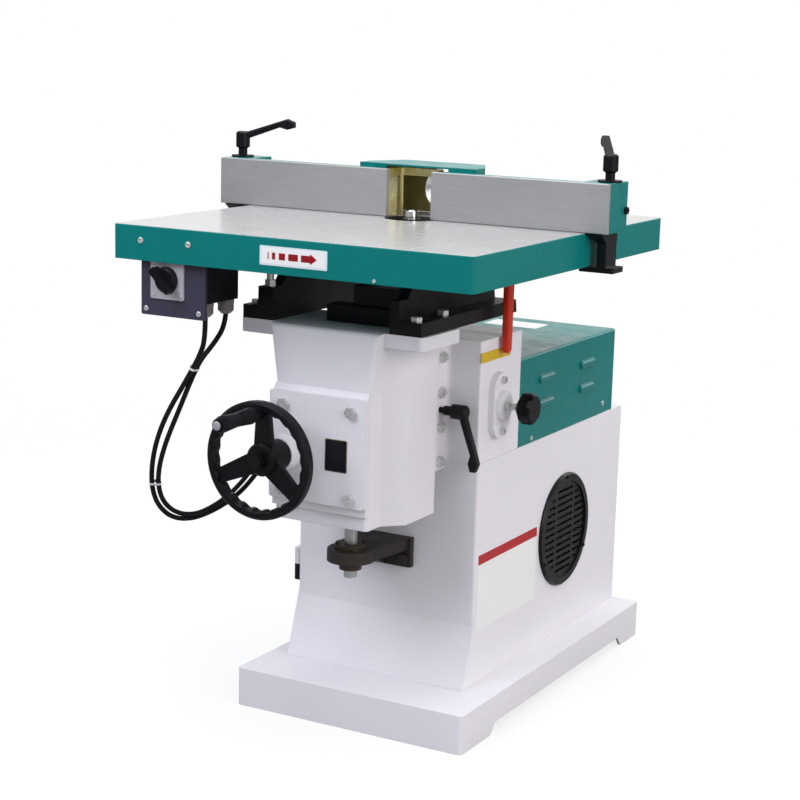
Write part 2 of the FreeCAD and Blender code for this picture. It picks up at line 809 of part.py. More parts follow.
# Rear belt cover: folded hood, open below and to the head, with pressed louvers in each side
cover_front_y = head_rear_y + flat_gap
cover_x = head_x
shell = block(-cover_x, cover_x, cover_front_y, cover_rear_y, column_top_z, cover_top_z)
shell = shell.makeFillet(cover_fold_r, [e for e in shell.Edges if is_along(e, (0, 1, 0))
                                      and e.CenterOfMass.z > column_top_z + overrun])
shell = shell.cut(block(-cover_x + cover_sheet, cover_x - cover_sheet, cover_front_y - overrun,
                      cover_rear_y - cover_sheet, column_top_z - overrun, cover_top_z - cover_sheet))
lip = block(-cover_x + cover_sheet, cover_x - cover_sheet, cover_front_y, cover_front_y + cover_sheet,
            cover_top_z - cover_flange, cover_top_z - cover_sheet)
shell = shell.fuse(lip)
cover_length = cover_rear_y - cover_front_y
pressing_half = louver_length / 2
swells = []
hollows = []
for y_share in louver_y_shares:
    for z_share in louver_z_shares:
        for side_x in (-1, 1):
            y = cover_front_y + y_share * cover_length
            z = column_top_z + z_share * cover_height
            x = side_x * (cover_x - cover_sheet)
            cap = louver_r / 3
            swell = Part.makeCone(louver_r - cap, louver_r, cap, V(x, y - pressing_half, z), V(0, 1, 0))
            swell = swell.fuse(rod(louver_r, (x, y - pressing_half + cap, z),
                                   (x, y + pressing_half - cap, z)))
            swell = swell.fuse(Part.makeCone(louver_r, louver_r - cap, cap, V(x, y + pressing_half - cap, z),
                                             V(0, 1, 0)))
            swells.append(swell)
            hollows.append(rod(louver_r - louver_wall, (x, y - pressing_half + cap, z),
                               (x, y + pressing_half - cap, z)))
inside = block(-cover_x + cover_sheet, cover_x - cover_sheet, cover_front_y, cover_rear_y - cover_sheet,
               column_top_z, cover_top_z - cover_sheet)
shell = shell.fuse(swells).cut(hollows).cut(inside).fuse(lip)
save("rear_cover", shell.removeSplitter())

# Motor hung under the column top, with cooling fins and a fan cowl
motor_top_z = column_top_z - column_wall
motor_low_z = motor_top_z - motor_flange_t - motor_length
motor = rod(motor_r, (0, motor_y, motor_low_z + motor_cowl), (0, motor_y, motor_top_z - motor_flange_t))
grooves = []
for i in range(motor_fins):
    fin = block(motor_r - motor_fin_depth, motor_r + overrun, -motor_fin_width / 2, motor_fin_width / 2,
                motor_low_z + motor_cowl, motor_top_z - motor_flange_t * 2)
    fin.rotate(V(0, 0, 0), V(0, 0, 1), 360 / motor_fins * i)
    grooves.append(fin.translated(V(0, motor_y, 0)))
motor = motor.cut(grooves)
motor = motor.fuse(turned([(0, 0), (motor_r - motor_fin_depth, 0), (motor_r, motor_fin_depth),
                           (motor_r, motor_cowl),
                           (0, motor_cowl)], (0, motor_y, motor_low_z), (0, 0, 1)))
motor = motor.fuse(rod(motor_flange_r, (0, motor_y, motor_top_z - motor_flange_t), (0, motor_y, motor_top_z)))
motor = motor.cut(rod(motor_shaft_r + run_fit, (0, motor_y, motor_top_z - motor_length / 2),
                      (0, motor_y, motor_top_z + overrun)))
save("motor_body", motor)
pulley_high_z = pulley_z + pulley_width / 2
rotor = rod(motor_shaft_r, (0, motor_y, motor_top_z - motor_length / 2 + flat_gap),
            (0, motor_y, pulley_high_z))


def pulley(radius, bore, place):
    # Crowned rim on a plate web with a hub as wide as the rim
    w = pulley_width / 2
    hub = bore + pulley_rim
    if radius - pulley_rim > hub + pulley_web:
        profile = [(bore, -w), (hub, -w), (hub, -pulley_web / 2), (radius - pulley_rim, -pulley_web / 2),
                   (radius - pulley_rim, -w), (radius, -w), (radius, w), (radius - pulley_rim, w),
                   (radius - pulley_rim, pulley_web / 2), (hub, pulley_web / 2), (hub, w), (bore, w)]
    else:
        profile = [(bore, -w), (radius, -w), (radius, w), (bore, w)]
    return turned(profile, place, (0, 0, 1))


save("motor_rotor",
     rotor.fuse(pulley(motor_pulley_r, motor_shaft_r, (0, motor_y, pulley_z))).removeSplitter())

# Flat belt round both pulleys
lean = math.asin((motor_pulley_r - spindle_pulley_r) / motor_y)


def belt_loop(extra):
    small = spindle_pulley_r + extra
    large = motor_pulley_r + extra
    c = math.cos(lean)
    s = math.sin(lean)
    p1 = V(small * c, -small * s, 0)
    p2 = V(large * c, motor_y - large * s, 0)
    p3 = V(-large * c, motor_y - large * s, 0)
    p4 = V(-small * c, -small * s, 0)
    edges = [Part.makeLine(p1, p2), Part.Arc(p2, V(0, motor_y + large, 0), p3).toShape(),
             Part.makeLine(p3, p4),
             Part.Arc(p4, V(0, -small, 0), p1).toShape()]
    return Part.Face(Part.Wire(edges))


belt = belt_loop(free_gap + belt_thickness).cut(belt_loop(free_gap)).extrude(V(0, 0, belt_width))
save("drive_belt", belt.translated(V(0, 0, pulley_z - belt_width / 2)))

# Spindle: turned shaft with cutter seat and short nose, drilled lock collar, pulley, nut and bearings
shoulder_z = table_top_z - seat_length
low_bearing_z = column_top_z + head_floor - bearing_width
high_bearing_z = head_top_z - bearing_width
nose_top_z = table_top_z + nose_height
collar_low_z = lock_z - lock_collar_h / 2
collar_high_z = lock_z + lock_collar_h / 2
spindle_low_z = column_top_z + free_gap
profile = [(0, spindle_low_z), (spindle_r, spindle_low_z), (spindle_r, collar_low_z),
           (lock_collar_r, collar_low_z),
           (lock_collar_r, collar_high_z), (spindle_r, collar_high_z), (spindle_r, shoulder_z - shoulder_h),
           (shoulder_r, shoulder_z - shoulder_h), (shoulder_r, shoulder_z), (cutter_seat_r, shoulder_z),
           (cutter_seat_r, table_top_z), (nose_r, table_top_z), (nose_r, nose_top_z - nose_chamfer),
           (nose_r - nose_chamfer, nose_top_z), (nose_bore_r, nose_top_z), (nose_bore_r,
                                                                            nose_top_z - nose_bore_depth),
           (0, nose_top_z - nose_bore_depth)]
spindle = turned(profile, (0, 0, 0), (0, 0, 1))
for i in range(lock_hole_count):
    turn = math.radians(360 / lock_hole_count * i)
    far = lock_collar_r + overrun
    near = lock_collar_r - lock_hole_depth
    spindle = spindle.cut(rod(lock_pin_r + bolt_fit, (near * math.cos(turn), near * math.sin(turn), lock_z),
                              (far * math.cos(turn), far * math.sin(turn), lock_z)))
save("spindle_shaft", spindle)
save("spindle_pulley", pulley(spindle_pulley_r, spindle_r + run_fit, (0, 0, pulley_z)))
bearings = []
for z in (low_bearing_z, high_bearing_z):
    bearings.append(turned([(spindle_r + run_fit, 0), (bearing_r, 0), (bearing_r, bearing_width),
                            (spindle_r + run_fit, bearing_width)], (0, 0, z), (0, 0, 1)))
save("spindle_bearings", group(bearings))
cap = turned([(spindle_r + free_gap, 0), (spindle_cap_r, 0),
              (spindle_cap_r, spindle_cap_t - spindle_cap_t / 4),
              (spindle_cap_r - spindle_cap_t / 4, spindle_cap_t), (spindle_r + free_gap, spindle_cap_t)],
             (0, 0, head_top_z), (0, 0, 1))
cap_bolts = []
for i in range(cap_bolt_count):
    turn = math.radians(360 / cap_bolt_count * (i + 0.5))
    place = (cap_bolt_circle * math.cos(turn), cap_bolt_circle * math.sin(turn), head_top_z + spindle_cap_t)
    cap_bolts.append(hexagon(cap_screw_head_r * 2, cap_screw_head_h / 2, place, (0, 0, 1)))
save("spindle_cap", cap.fuse(cap_bolts))

# Knee casting: stepped box that widens to the slideway, flared up to a top with a lug at each side
box_x = knee_box_width / 2
wide_x = knee_width / 2
box_rear_y = knee_front_y + knee_box_depth
wide_y = box_rear_y + knee_shoulder_depth
flange_low_z = knee_top_z - flange_thickness
flare_low_z = knee_top_z - knee_flare_height


def knee_ring(grow, z):
    # Plan of the knee at one height, its two front corners rounded
    plan = [(-box_x - grow, knee_front_y, z), (box_x + grow, knee_front_y, z),
            (box_x + grow, box_rear_y, z), (wide_x, wide_y, z), (wide_x, knee_rear_y, z),
            (-wide_x, knee_rear_y, z), (-wide_x, wide_y, z), (-box_x - grow, box_rear_y, z)]
    slab = Part.Face(loop(plan)).extrude(V(0, 0, overrun))
    slab = rounded(slab, knee_edge_r, (0, 0, 1), lambda c: c.y < knee_front_y + overrun)
    return [f for f in slab.Faces if f.BoundBox.ZMax < z + flat_gap][0].OuterWire


knee = Part.Face(knee_ring(0, knee_bottom_z)).extrude(V(0, 0, flare_low_z - knee_bottom_z))
knee = knee.fuse(Part.makeLoft([knee_ring(0, flare_low_z), knee_ring(knee_flare, knee_top_z)], True, True))
flange_x = flange_width / 2
flange_rear_y = flange_front_y + flange_depth
flange = block(-flange_x, flange_x, flange_front_y, flange_rear_y, flange_low_z, knee_top_z)
flange = rounded(flange, flange_corner_r, (0, 0, 1), lambda c: c.y < flange_front_y + overrun)
knee = knee.fuse(flange)
spine = block(-wide_x, wide_x, flange_rear_y - overrun, knee_rear_y, flange_low_z, knee_top_z)
knee = knee.fuse(spine)
crown = block(-wide_x, wide_x, knee_front_y - overrun, knee_front_y + knee_crown_r,
              knee_top_z - knee_crown_r, knee_top_z + overrun)
crown_y, crown_z = knee_front_y + knee_crown_r, knee_top_z - knee_crown_r
knee = knee.cut(crown.cut(rod(knee_crown_r, (-wide_x, crown_y, crown_z), (wide_x, crown_y, crown_z))))
pad_low_z = knee_bottom_z + pad_drop
pad_high_z = pad_low_z + pad_height
pad = prism_x([(knee_front_y + overrun, pad_low_z), (knee_front_y - pad_out, pad_low_z),
               (knee_front_y - pad_out, pad_high_z - pad_bevel), (knee_front_y, pad_high_z + pad_bevel),
               (knee_front_y + overrun, pad_high_z + pad_bevel)], -box_x, box_x)
knee = knee.fuse(pad)
neck_x = mouth_x - flat_gap
tail = [(-neck_x, knee_rear_y - overrun), (-neck_x, way_front_y), (-neck_x - tail_slope, tail_y - tail_gap),
        (neck_x + tail_slope, tail_y - tail_gap), (neck_x, way_front_y), (neck_x, knee_rear_y - overrun)]
knee = knee.fuse(prism_z(tail, knee_bottom_z, knee_top_z)).removeSplitter()
room_low_z = knee_bottom_z + knee_floor
room_high_z = flare_low_z + knee_flare_height / 2
room = [(-box_x + knee_wall, knee_front_y + knee_wall), (box_x - knee_wall, knee_front_y + knee_wall),
        (box_x - knee_wall, box_rear_y), (wide_x - knee_wall, wide_y), (wide_x - knee_wall,
                                                                        knee_rear_y - knee_wall * 2),
        (-wide_x + knee_wall, knee_rear_y - knee_wall * 2), (-wide_x + knee_wall, wide_y),
        (-box_x + knee_wall, box_rear_y)]
knee = knee.cut(prism_z(room, room_low_z, room_high_z))
window_z = gear_cover_low_z + gear_cover_height / 2
knee = knee.cut(block(-window_width / 2, window_width / 2, knee_front_y - pad_out - overrun,
                      knee_front_y + knee_wall + overrun,
                      window_z - window_height / 2, window_z + window_height / 2))
knee = knee.cut(rod(screw_r + run_fit, (0, screw_y, knee_bottom_z - overrun),
                    (0, screw_y, room_low_z + overrun)))
shaft_rear_y = knee_rear_y - knee_wall
knee = knee.cut(rod(wheel_shaft_r + run_fit, (wheel_x, shaft_rear_y, wheel_z),
                    (wheel_x, knee_rear_y - knee_wall * 2 - overrun, wheel_z)))
knee = knee.cut(rod(wheel_boss_r, (wheel_x, knee_front_y - pad_out - overrun, wheel_z),
                    (wheel_x, knee_front_y + knee_wall + overrun, wheel_z)))
arm_bolt_depth = flange_thickness + arm_foot_t
for side_x in (-1, 1):
    for y in arm_bolt_y:
        knee = knee.cut(rod(bolt_r + bolt_fit, (side_x * arm_bolt_x, y, flange_low_z - overrun),
                            (side_x * arm_bolt_x, y, knee_top_z + overrun)))
bolt_low_z = gear_cover_low_z + cover_bolt_edge
bolt_high_z = gear_cover_low_z + gear_cover_height - cover_bolt_top_edge
cover_bolts = []
for x in (-cover_bolt_x, cover_bolt_x):
    for z in (bolt_low_z, bolt_high_z):
        knee = knee.cut(rod(bolt_r + run_fit, (x, knee_front_y - pad_out - overrun, z),
                            (x, gear_cover_front_y + bolt_length + flat_gap, z)))
        cover_bolts.append(hex_bolt(bolt_flats, bolt_head_h, bolt_r, bolt_length, (x, gear_cover_front_y, z),
                                    (0, -1, 0)))
save("knee_casting", knee)
save("cover_bolts", group(cover_bolts))

# Gear cover: plate with the bearing boss of the handwheel shaft
gear_cover = block(-gear_cover_width / 2, gear_cover_width / 2, gear_cover_front_y, gear_cover_y,
                   gear_cover_low_z, gear_cover_low_z + gear_cover_height)
gear_cover = rounded(gear_cover, gear_cover_r, (0, 1, 0), lambda c: True)
gear_cover = gear_cover.fuse(turned([(0, 0), (wheel_boss_r, 0),
                                     (wheel_boss_r - wheel_boss_h / 6, wheel_boss_h), (0, wheel_boss_h)],
                                    (wheel_x, gear_cover_front_y, wheel_z), (0, -1, 0)))
gear_cover = gear_cover.cut(rod(wheel_shaft_r + run_fit, (wheel_x, gear_cover_y + overrun, wheel_z),
                                (wheel_x, boss_front_y - overrun, wheel_z)))
for x in (-cover_bolt_x, cover_bolt_x):
    for z in (bolt_low_z, bolt_high_z):
        gear_cover = gear_cover.cut(rod(bolt_r + run_fit, (x, gear_cover_y + overrun, z),
                                        (x, gear_cover_front_y - overrun, z)))
save("gear_cover", gear_cover)


def gear(place, way):
    # Straight-sided teeth on a plain blank
    foot_r = gear_r - gear_tooth_depth
    points = []
    for i in range(gear_teeth):
        for share, r in zip(gear_flank_shares, (foot_r, gear_r, gear_r, foot_r)):
            turn = 2 * math.pi * (i + share) / gear_teeth
            points.append((r * math.cos(turn), r * math.sin(turn), -gear_width / 2))
    blank = Part.Face(loop(points)).extrude(V(0, 0, gear_width))
    blank.Placement = FreeCAD.Placement(V(*place), FreeCAD.Rotation(V(0, 0, 1), V(*way)))
    return blank


# Handwheel shaft with its gear, and the lift screw with its thrust collars and gear
nut_front_y = hub_front_y - wheel_nut_h
shaft = rod(wheel_shaft_r, (wheel_x, shaft_rear_y - flat_gap, wheel_z),
            (wheel_x, nut_front_y - wheel_bolt_end, wheel_z))
shaft = shaft.fuse(hexagon(wheel_nut_flats, wheel_nut_h, (wheel_x, hub_front_y, wheel_z), (0, -1, 0)))
shaft = shaft.fuse(gear((wheel_x, screw_y, wheel_z), (0, 1, 0)))
save("handwheel_shaft", shaft.removeSplitter())
nut_low_z = bracket_z + bracket_arm_t + nut_flange_t - nut_length
screw = rod(screw_r, (0, screw_y, nut_low_z - screw_end), (0, screw_y, wheel_z + gear_width / 2))
for collar_z in (room_low_z + free_gap, knee_bottom_z - free_gap - screw_collar_h):
    screw = screw.fuse(rod(screw_collar_r, (0, screw_y, collar_z), (0, screw_y, collar_z + screw_collar_h)))
screw = screw.fuse(gear((0, screw_y, wheel_z), (0, 0, 1)))
save("lift_screw", screw.removeSplitter())

# Graduated dial on the shaft
dial_bore_r = wheel_shaft_r + run_fit
dial = turned([(dial_bore_r, 0), (dial_r, 0), (dial_r, dial_h), (dial_bore_r, dial_h)],
              (wheel_x, boss_front_y - free_gap, wheel_z), (0, -1, 0))
ticks = []
for i in range(dial_ticks):
    tick = block(dial_r - dial_tick_depth, dial_r + overrun, -dial_h - overrun, -dial_h / 2,
                 -dial_tick_width / 2, dial_tick_width / 2)
    tick.rotate(V(0, 0, 0), V(0, 1, 0), 360 / dial_ticks * i)
    ticks.append(tick.translated(V(wheel_x, boss_front_y - free_gap, wheel_z)))
save("wheel_dial", dial.cut(ticks))

# Handwheel: finger-scalloped rim, three dished spokes, hub
inner_r = wheel_r - rim_width
e = rim_width / 4
d = rim_depth / 2
rim = turned([(inner_r, -d + e), (inner_r + e, -d), (wheel_r - e, -d), (wheel_r, -d + e), (wheel_r, d - e),
              (wheel_r - e, d), (inner_r + e, d), (inner_r, d - e)], (0, 0, 0), (0, -1, 0))
bites = []
for i in range(scallop_count):
    turn = math.radians(360 / scallop_count * i)
    r = inner_r + scallop_bite - scallop_r
    bites.append(rod(scallop_r, (r * math.cos(turn), -d - overrun, r * math.sin(turn)),
                     (r * math.cos(turn), d + overrun, r * math.sin(turn))))
rim = rim.cut(bites)
hub_y = hub_rear_y - rim_y
wheel = rim.fuse(turned([(0, 0), (hub_r, 0), (hub_r, hub_length - e), (hub_r - e, hub_length),
                         (0, hub_length)],
                        (0, hub_y, 0), (0, -1, 0)))
hub_mid_y = hub_y - hub_length / 2
tip_r = inner_r + rim_width / 3
for i in range(spoke_count):
    root = loop([(0, hub_mid_y - spoke_t / 2, -spoke_root / 2), (0, hub_mid_y - spoke_t / 2, spoke_root / 2),
                 (0, hub_mid_y + spoke_t / 2, spoke_root / 2), (0, hub_mid_y + spoke_t / 2, -spoke_root / 2)])
    tip = loop([(tip_r, -spoke_t / 2, -spoke_tip / 2), (tip_r, -spoke_t / 2, spoke_tip / 2),
                (tip_r, spoke_t / 2, spoke_tip / 2), (tip_r, spoke_t / 2, -spoke_tip / 2)])
    spoke = Part.makeLoft([root, tip], True, True)
    spoke.rotate(V(0, 0, 0), V(0, -1, 0), spoke_angle + 360 / spoke_count * i)
    wheel = wheel.fuse(spoke)
wheel = wheel.translated(V(wheel_x, rim_y, wheel_z))
wheel = wheel.cut(rod(dial_bore_r, (wheel_x, hub_rear_y + overrun, wheel_z),
                      (wheel_x, hub_front_y - overrun, wheel_z)))
handle_z = wheel_z + handle_radius
rim_front_y = rim_y - rim_depth / 2
wheel = wheel.fuse(rod(handle_waist_r, (wheel_x, rim_y, handle_z),
                       (wheel_x, rim_front_y - handle_root + flat_gap, handle_z)))
pin_front_y = rim_front_y - handle_root - handle_length / 2
wheel = wheel.fuse(rod(handle_pin_r, (wheel_x, rim_y, handle_z), (wheel_x, pin_front_y, handle_z)))
save("handwheel", wheel.removeSplitter())

# Revolving grip on the handle pin
grip_end = handle_length + handle_cap_h
grip = turned([(0, 0), (handle_waist_r, 0), (handle_r, handle_length / 8),
               (handle_waist_r, handle_length / 2),
               (handle_r, handle_length - handle_length / 8), (handle_r - handle_cap_h, handle_length),
               (handle_cap_r, handle_length), (handle_cap_r, grip_end), (0, grip_end)],
              (wheel_x, rim_front_y - handle_root, handle_z), (0, -1, 0))
grip = grip.cut(rod(handle_pin_r + run_fit, (wheel_x, rim_front_y - handle_root + overrun, handle_z),
                    (wheel_x, pin_front_y - free_gap, handle_z)))
save("handle_grip", grip)

# Nut bracket: round-ended arm with a rib below, bolted to the column front
arm_high_z = bracket_z + bracket_arm_t
plate_y = column_front_y - flat_gap
plate_front_y = plate_y - bracket_flange_t
root_x = bracket_root / 2
lean_y = screw_y + bracket_end_r / 3
lean_x = math.sqrt(bracket_end_r ** 2 - (bracket_end_r / 3) ** 2)
arm_edges = [Part.makeLine(V(root_x, plate_front_y, bracket_z), V(lean_x, lean_y, bracket_z)),
             Part.Arc(V(lean_x, lean_y, bracket_z), V(0, screw_y - bracket_end_r, bracket_z),
                      V(-lean_x, lean_y, bracket_z)).toShape(),
             Part.makeLine(V(-lean_x, lean_y, bracket_z), V(-root_x, plate_front_y, bracket_z)),
             Part.makeLine(V(-root_x, plate_front_y, bracket_z), V(root_x, plate_front_y, bracket_z))]
bracket = Part.Face(Part.Wire(arm_edges)).extrude(V(0, 0, bracket_arm_t))
bracket = bracket.makeFillet(bracket_edge_r,
                             [e for e in bracket.Edges if e.CenterOfMass.z > arm_high_z - flat_gap
                                              and e.CenterOfMass.y < plate_front_y - overrun])
flange_low = arm_high_z - bracket_flange_h
bracket = bracket.fuse(block(-bracket_flange_w / 2, bracket_flange_w / 2, plate_front_y, plate_y, flange_low,
                             arm_high_z))
bracket = bracket.fuse(prism_x([(plate_front_y, flange_low), (plate_front_y, bracket_z + overrun),
                                (screw_y + bracket_end_r, bracket_z + overrun), (screw_y + bracket_end_r,
                                                                                 bracket_z)],
                               -bracket_rib_t / 2, bracket_rib_t / 2))
bracket = bracket.cut(rod(nut_r + run_fit, (0, screw_y, bracket_z - bracket_rib_drop),
                          (0, screw_y, arm_high_z + overrun)))
bracket_bolts = []
for x in (-bracket_bolt_x, bracket_bolt_x):
    place = (x, plate_front_y, flange_low + bracket_bolt_low)
    bracket_bolts.append(hexagon(bolt_flats, bolt_head_h, place, (0, -1, 0)))
save("lift_bracket", bracket.removeSplitter())
save("bracket_bolts", group(bracket_bolts))
lift_nut = turned([(screw_r + run_fit, -nut_length + nut_flange_t), (nut_r, -nut_length + nut_flange_t),
                   (nut_r, 0),
                   (nut_flange_r, 0), (nut_flange_r, nut_flange_t), (screw_r + run_fit, nut_flange_t)],
                  (0, screw_y, arm_high_z), (0, 0, 1))
nut_bolts = []
for i in range(gib_screw_count):
    turn = math.radians(360 / gib_screw_count * (i + 0.5))
    place = (nut_bolt_circle * math.cos(turn), screw_y + nut_bolt_circle * math.sin(turn),
             arm_high_z + nut_flange_t)
    nut_bolts.append(hexagon(nut_bolt_r * 3, nut_bolt_r * 2, place, (0, 0, 1)))
save("lift_nut", lift_nut.fuse(nut_bolts))

# Table arms: angle brackets with a foot on the knee flange and a cap under the table
arm_front_y = flange_front_y
arm_rear_y = arm_front_y + arm_length
arm_high = table_under_z
web_out_x = arm_web_x + arm_web_t
section = [(arm_web_x, arm_low_z), (arm_web_x + arm_foot, arm_low_z),
           (arm_web_x + arm_foot, arm_low_z + arm_foot_t),
           (web_out_x, arm_low_z + arm_foot_t), (web_out_x, arm_high - arm_cap_t), (arm_web_x + arm_cap,
                                                                                    arm_high - arm_cap_t),
           (arm_web_x + arm_cap, arm_high), (arm_web_x, arm_high)]
arm = prism_y(section, arm_front_y, arm_rear_y)
slant = prism_x([(arm_rear_y - arm_rear_slope, arm_high + overrun), (arm_rear_y, arm_low_z),
                 (arm_rear_y + overrun, arm_low_z), (arm_rear_y + overrun, arm_high + overrun)],
                arm_web_x - overrun, arm_web_x + arm_foot + overrun)
arm = arm.cut(slant)
lug_top_z = arm_low_z + arm_foot_t + stud_lug_h
lug_rear_y = arm_front_y + stud_lug_d
arm = arm.cut(prism_x([(arm_front_y - overrun, lug_top_z), (lug_rear_y, lug_top_z),
                       (lug_rear_y + arm_front_slope, arm_high),
                       (lug_rear_y + arm_front_slope, arm_high + overrun),
                       (arm_front_y - overrun, arm_high + overrun)],
                      arm_web_x - overrun, arm_web_x + arm_foot + overrun))
for y in arm_bolt_y:
    arm = arm.cut(rod(bolt_r + bolt_fit, (arm_bolt_x, y, arm_low_z - overrun),
                      (arm_bolt_x, y, arm_low_z + arm_foot_t + overrun)))
lug = block(web_out_x - overrun, web_out_x + stud_lug_w, arm_front_y, lug_rear_y,
            arm_low_z + arm_foot_t - overrun, lug_top_z)
left_arm = mirrored(arm.fuse(lug).removeSplitter())
stud_x = -(arm_web_x + web_out_x + stud_lug_w) / 2
stud_y = arm_front_y + stud_from_front
left_arm = left_arm.cut(rod(stud_r + run_fit, (stud_x, stud_y, lug_top_z - stud_lug_h / 2),
                            (stud_x, stud_y, lug_top_z + overrun)))
save("table_arm_left", left_arm)
stud = rod(stud_r, (stud_x, stud_y, lug_top_z - stud_lug_h / 2), (stud_x, stud_y, table_under_z))
save("levelling_stud", stud.fuse(hexagon(stud_nut_flats, stud_nut_h, (stud_x, stud_y, lug_top_z), (0, 0, 1))))
clamp_y = arm_rear_y - clamp_from_end
clamp_z = arm_low_z + clamp_up
arm = arm.cut(rod(clamp_stud_r + run_fit, (arm_web_x - overrun, clamp_y, clamp_z),
                  (web_out_x + overrun, clamp_y, clamp_z)))
save("table_arm_right", arm)
arm_bolts = []
for side_x in (-1, 1):
    for y in arm_bolt_y:
        arm_bolts.append(hex_bolt(bolt_flats, bolt_head_h, bolt_r, arm_bolt_depth,
                                  (side_x * arm_bolt_x, y, arm_low_z + arm_foot_t), (0, 0, 1)))
cap_screw_x = arm_web_x + arm_cap - cap_screw_head_r * 2
for side_x in (-1, 1):
    for share in cap_screw_y_shares:
        place = (side_x * cap_screw_x, arm_front_y + share * (arm_length - arm_rear_slope),
                 arm_high - arm_cap_t)
        arm_bolts.append(hexagon(cap_screw_head_r * 2, cap_screw_head_h, place, (0, 0, -1)))
save("arm_bolts", group(arm_bolts))
tie_right = arm_web_x - flat_gap
cross_tie = block(tie_low_left, tie_right, tie_front_y, tie_front_y + tie_depth, knee_top_z,
                  knee_top_z + tie_low_h)
cross_tie = cross_tie.fuse(block(tie_high_left, tie_right, tie_front_y + tie_depth / 4,
                                 tie_front_y + tie_depth,
                                 knee_top_z + tie_low_h, knee_top_z + tie_low_h + tie_high_h))
save("arm_cross_tie", cross_tie.removeSplitter())

# Table clamp lever: hub and hanging grip on a stud through the right arm
lever_x = web_out_x + clamp_stud_out - clamp_t
tip_z = clamp_z - clamp_arm
grip_outline = [(clamp_y - clamp_root_w / 2, clamp_z), (clamp_y - clamp_tip_w / 2, tip_z + clamp_tip_w / 2),
                (clamp_y + clamp_tip_w / 2, tip_z + clamp_tip_w / 2), (clamp_y + clamp_root_w / 2, clamp_z)]
lever = prism_x(grip_outline, lever_x, lever_x + clamp_t)
lever = lever.fuse(rod(clamp_tip_w / 2, (lever_x, clamp_y, tip_z + clamp_tip_w / 2),
                       (lever_x + clamp_t, clamp_y, tip_z + clamp_tip_w / 2)))
lever = lever.fuse(rod(clamp_hub_r, (lever_x, clamp_y, clamp_z),
                       (lever_x + clamp_t, clamp_y, clamp_z))).removeSplitter()
lever = lever.makeFillet(clamp_edge_r, [e for e in lever.Edges if not is_along(e, (1, 0, 0))])
save("table_clamp_lever",
     lever.cut(rod(clamp_stud_r + run_fit, (lever_x - overrun, clamp_y, clamp_z),
                   (lever_x + clamp_t + overrun, clamp_y, clamp_z))))
clamp_stud = rod(clamp_stud_r, (arm_web_x - free_gap, clamp_y, clamp_z),
                 (lever_x + clamp_t, clamp_y, clamp_z))
clamp_stud = clamp_stud.fuse(rod(clamp_hub_r - clamp_edge_r, (web_out_x + free_gap, clamp_y, clamp_z),
                                 (lever_x, clamp_y, clamp_z)))
clamp_stud = clamp_stud.fuse(hexagon(clamp_pin_head_r * 2, clamp_pin_head_h,
                                     (arm_web_x - free_gap, clamp_y, clamp_z), (-1, 0, 0)))
save("table_clamp_stud", clamp_stud)

# Table: ribbed plate with a deep skirt and a chamfered spindle hole
table = block(-table_x, table_x, table_front_y, table_rear_y, table_low_z, table_top_z)
table = rounded(table, table_corner_r, (0, 0, 1), lambda c: True)
table = table.makeChamfer(table_edge_r, [e for e in table.Edges if e.CenterOfMass.z > table_top_z - flat_gap])
well = block(-table_x + table_wall, table_x - table_wall, table_front_y + table_wall,
             table_rear_y - table_wall,
             table_low_z - overrun, table_under_z)
table = table.cut(well)
for y in table_rib_y:
    table = table.fuse(block(-table_x + table_wall, table_x - table_wall, y, y + table_rib_t,
                             table_under_z - table_rib_h, table_under_z))
table = table.fuse(rod(table_boss_r, (0, 0, table_under_z - table_boss_h), (0, 0, table_under_z)))
hole = turned([(0, -table_plate - table_boss_h - overrun),
               (table_hole_r, -table_plate - table_boss_h - overrun),
               (table_hole_r, -table_edge_r), (table_hole_r + table_edge_r, 0), (table_hole_r + table_edge_r,
                                                                                 overrun), (0, overrun)],
              (0, 0, table_top_z), (0, 0, 1))
save("table_top", table.cut(hole).removeSplitter())

# Fence plates and their cast carriers
plate_rear_y = fence_front_y + plate_t
left_plate = block(fence_shift - fence_half, gap_left, fence_front_y, plate_rear_y, fence_low_z, fence_top_z)
left_plate = left_plate.makeChamfer(plate_edge, [e for e in left_plate.Edges if is_along(e, (1, 0, 0))
                                                 and e.CenterOfMass.y < plate_rear_y - plate_edge])
save("fence_plate_left", left_plate)
right_plate = block(gap_right, fence_shift + fence_half, fence_front_y, plate_rear_y, fence_low_z,
                    fence_top_z)
right_plate = right_plate.makeChamfer(plate_edge, [e for e in right_plate.Edges if is_along(e, (1, 0, 0))
                                                   and e.CenterOfMass.y < plate_rear_y - plate_edge])
save("fence_plate_right", right_plate)
wall_rear_y = plate_rear_y + carrier_wall
carrier_rear_y = plate_rear_y + carrier_depth
carrier = block(carrier_inner, fence_half, plate_rear_y, wall_rear_y, fence_low_z, fence_top_z)
carrier = carrier.fuse(block(foot_inner, fence_half, plate_rear_y, carrier_rear_y, fence_low_z,
                             fence_low_z + carrier_foot_t))
carrier = carrier.fuse(block(fence_half - end_block, fence_half, plate_rear_y, carrier_rear_y, fence_low_z,
                             fence_top_z))
rib_x = foot_inner + carrier_rib_share * (fence_half - end_block - foot_inner)
carrier = carrier.fuse(prism_x([(wall_rear_y, fence_low_z), (carrier_rear_y, fence_low_z + carrier_foot_t),
                                (wall_rear_y, fence_top_z)],
                               rib_x, rib_x + carrier_rib_t)).removeSplitter()
carrier = rounded(carrier, carrier_edge_r, (0, 0, 1), lambda c: c.y > carrier_rear_y - flat_gap
                  and c.z > fence_low_z + carrier_foot_t)
clamp_x = fence_half - clamp_inset
carrier = carrier.cut(rod(clamp_post_r + run_fit, (clamp_x, clamp_post_y, fence_low_z - overrun),
                          (clamp_x, clamp_post_y, fence_top_z + overrun)))
save("fence_carrier_right", carrier.translated(V(fence_shift, 0, 0)))
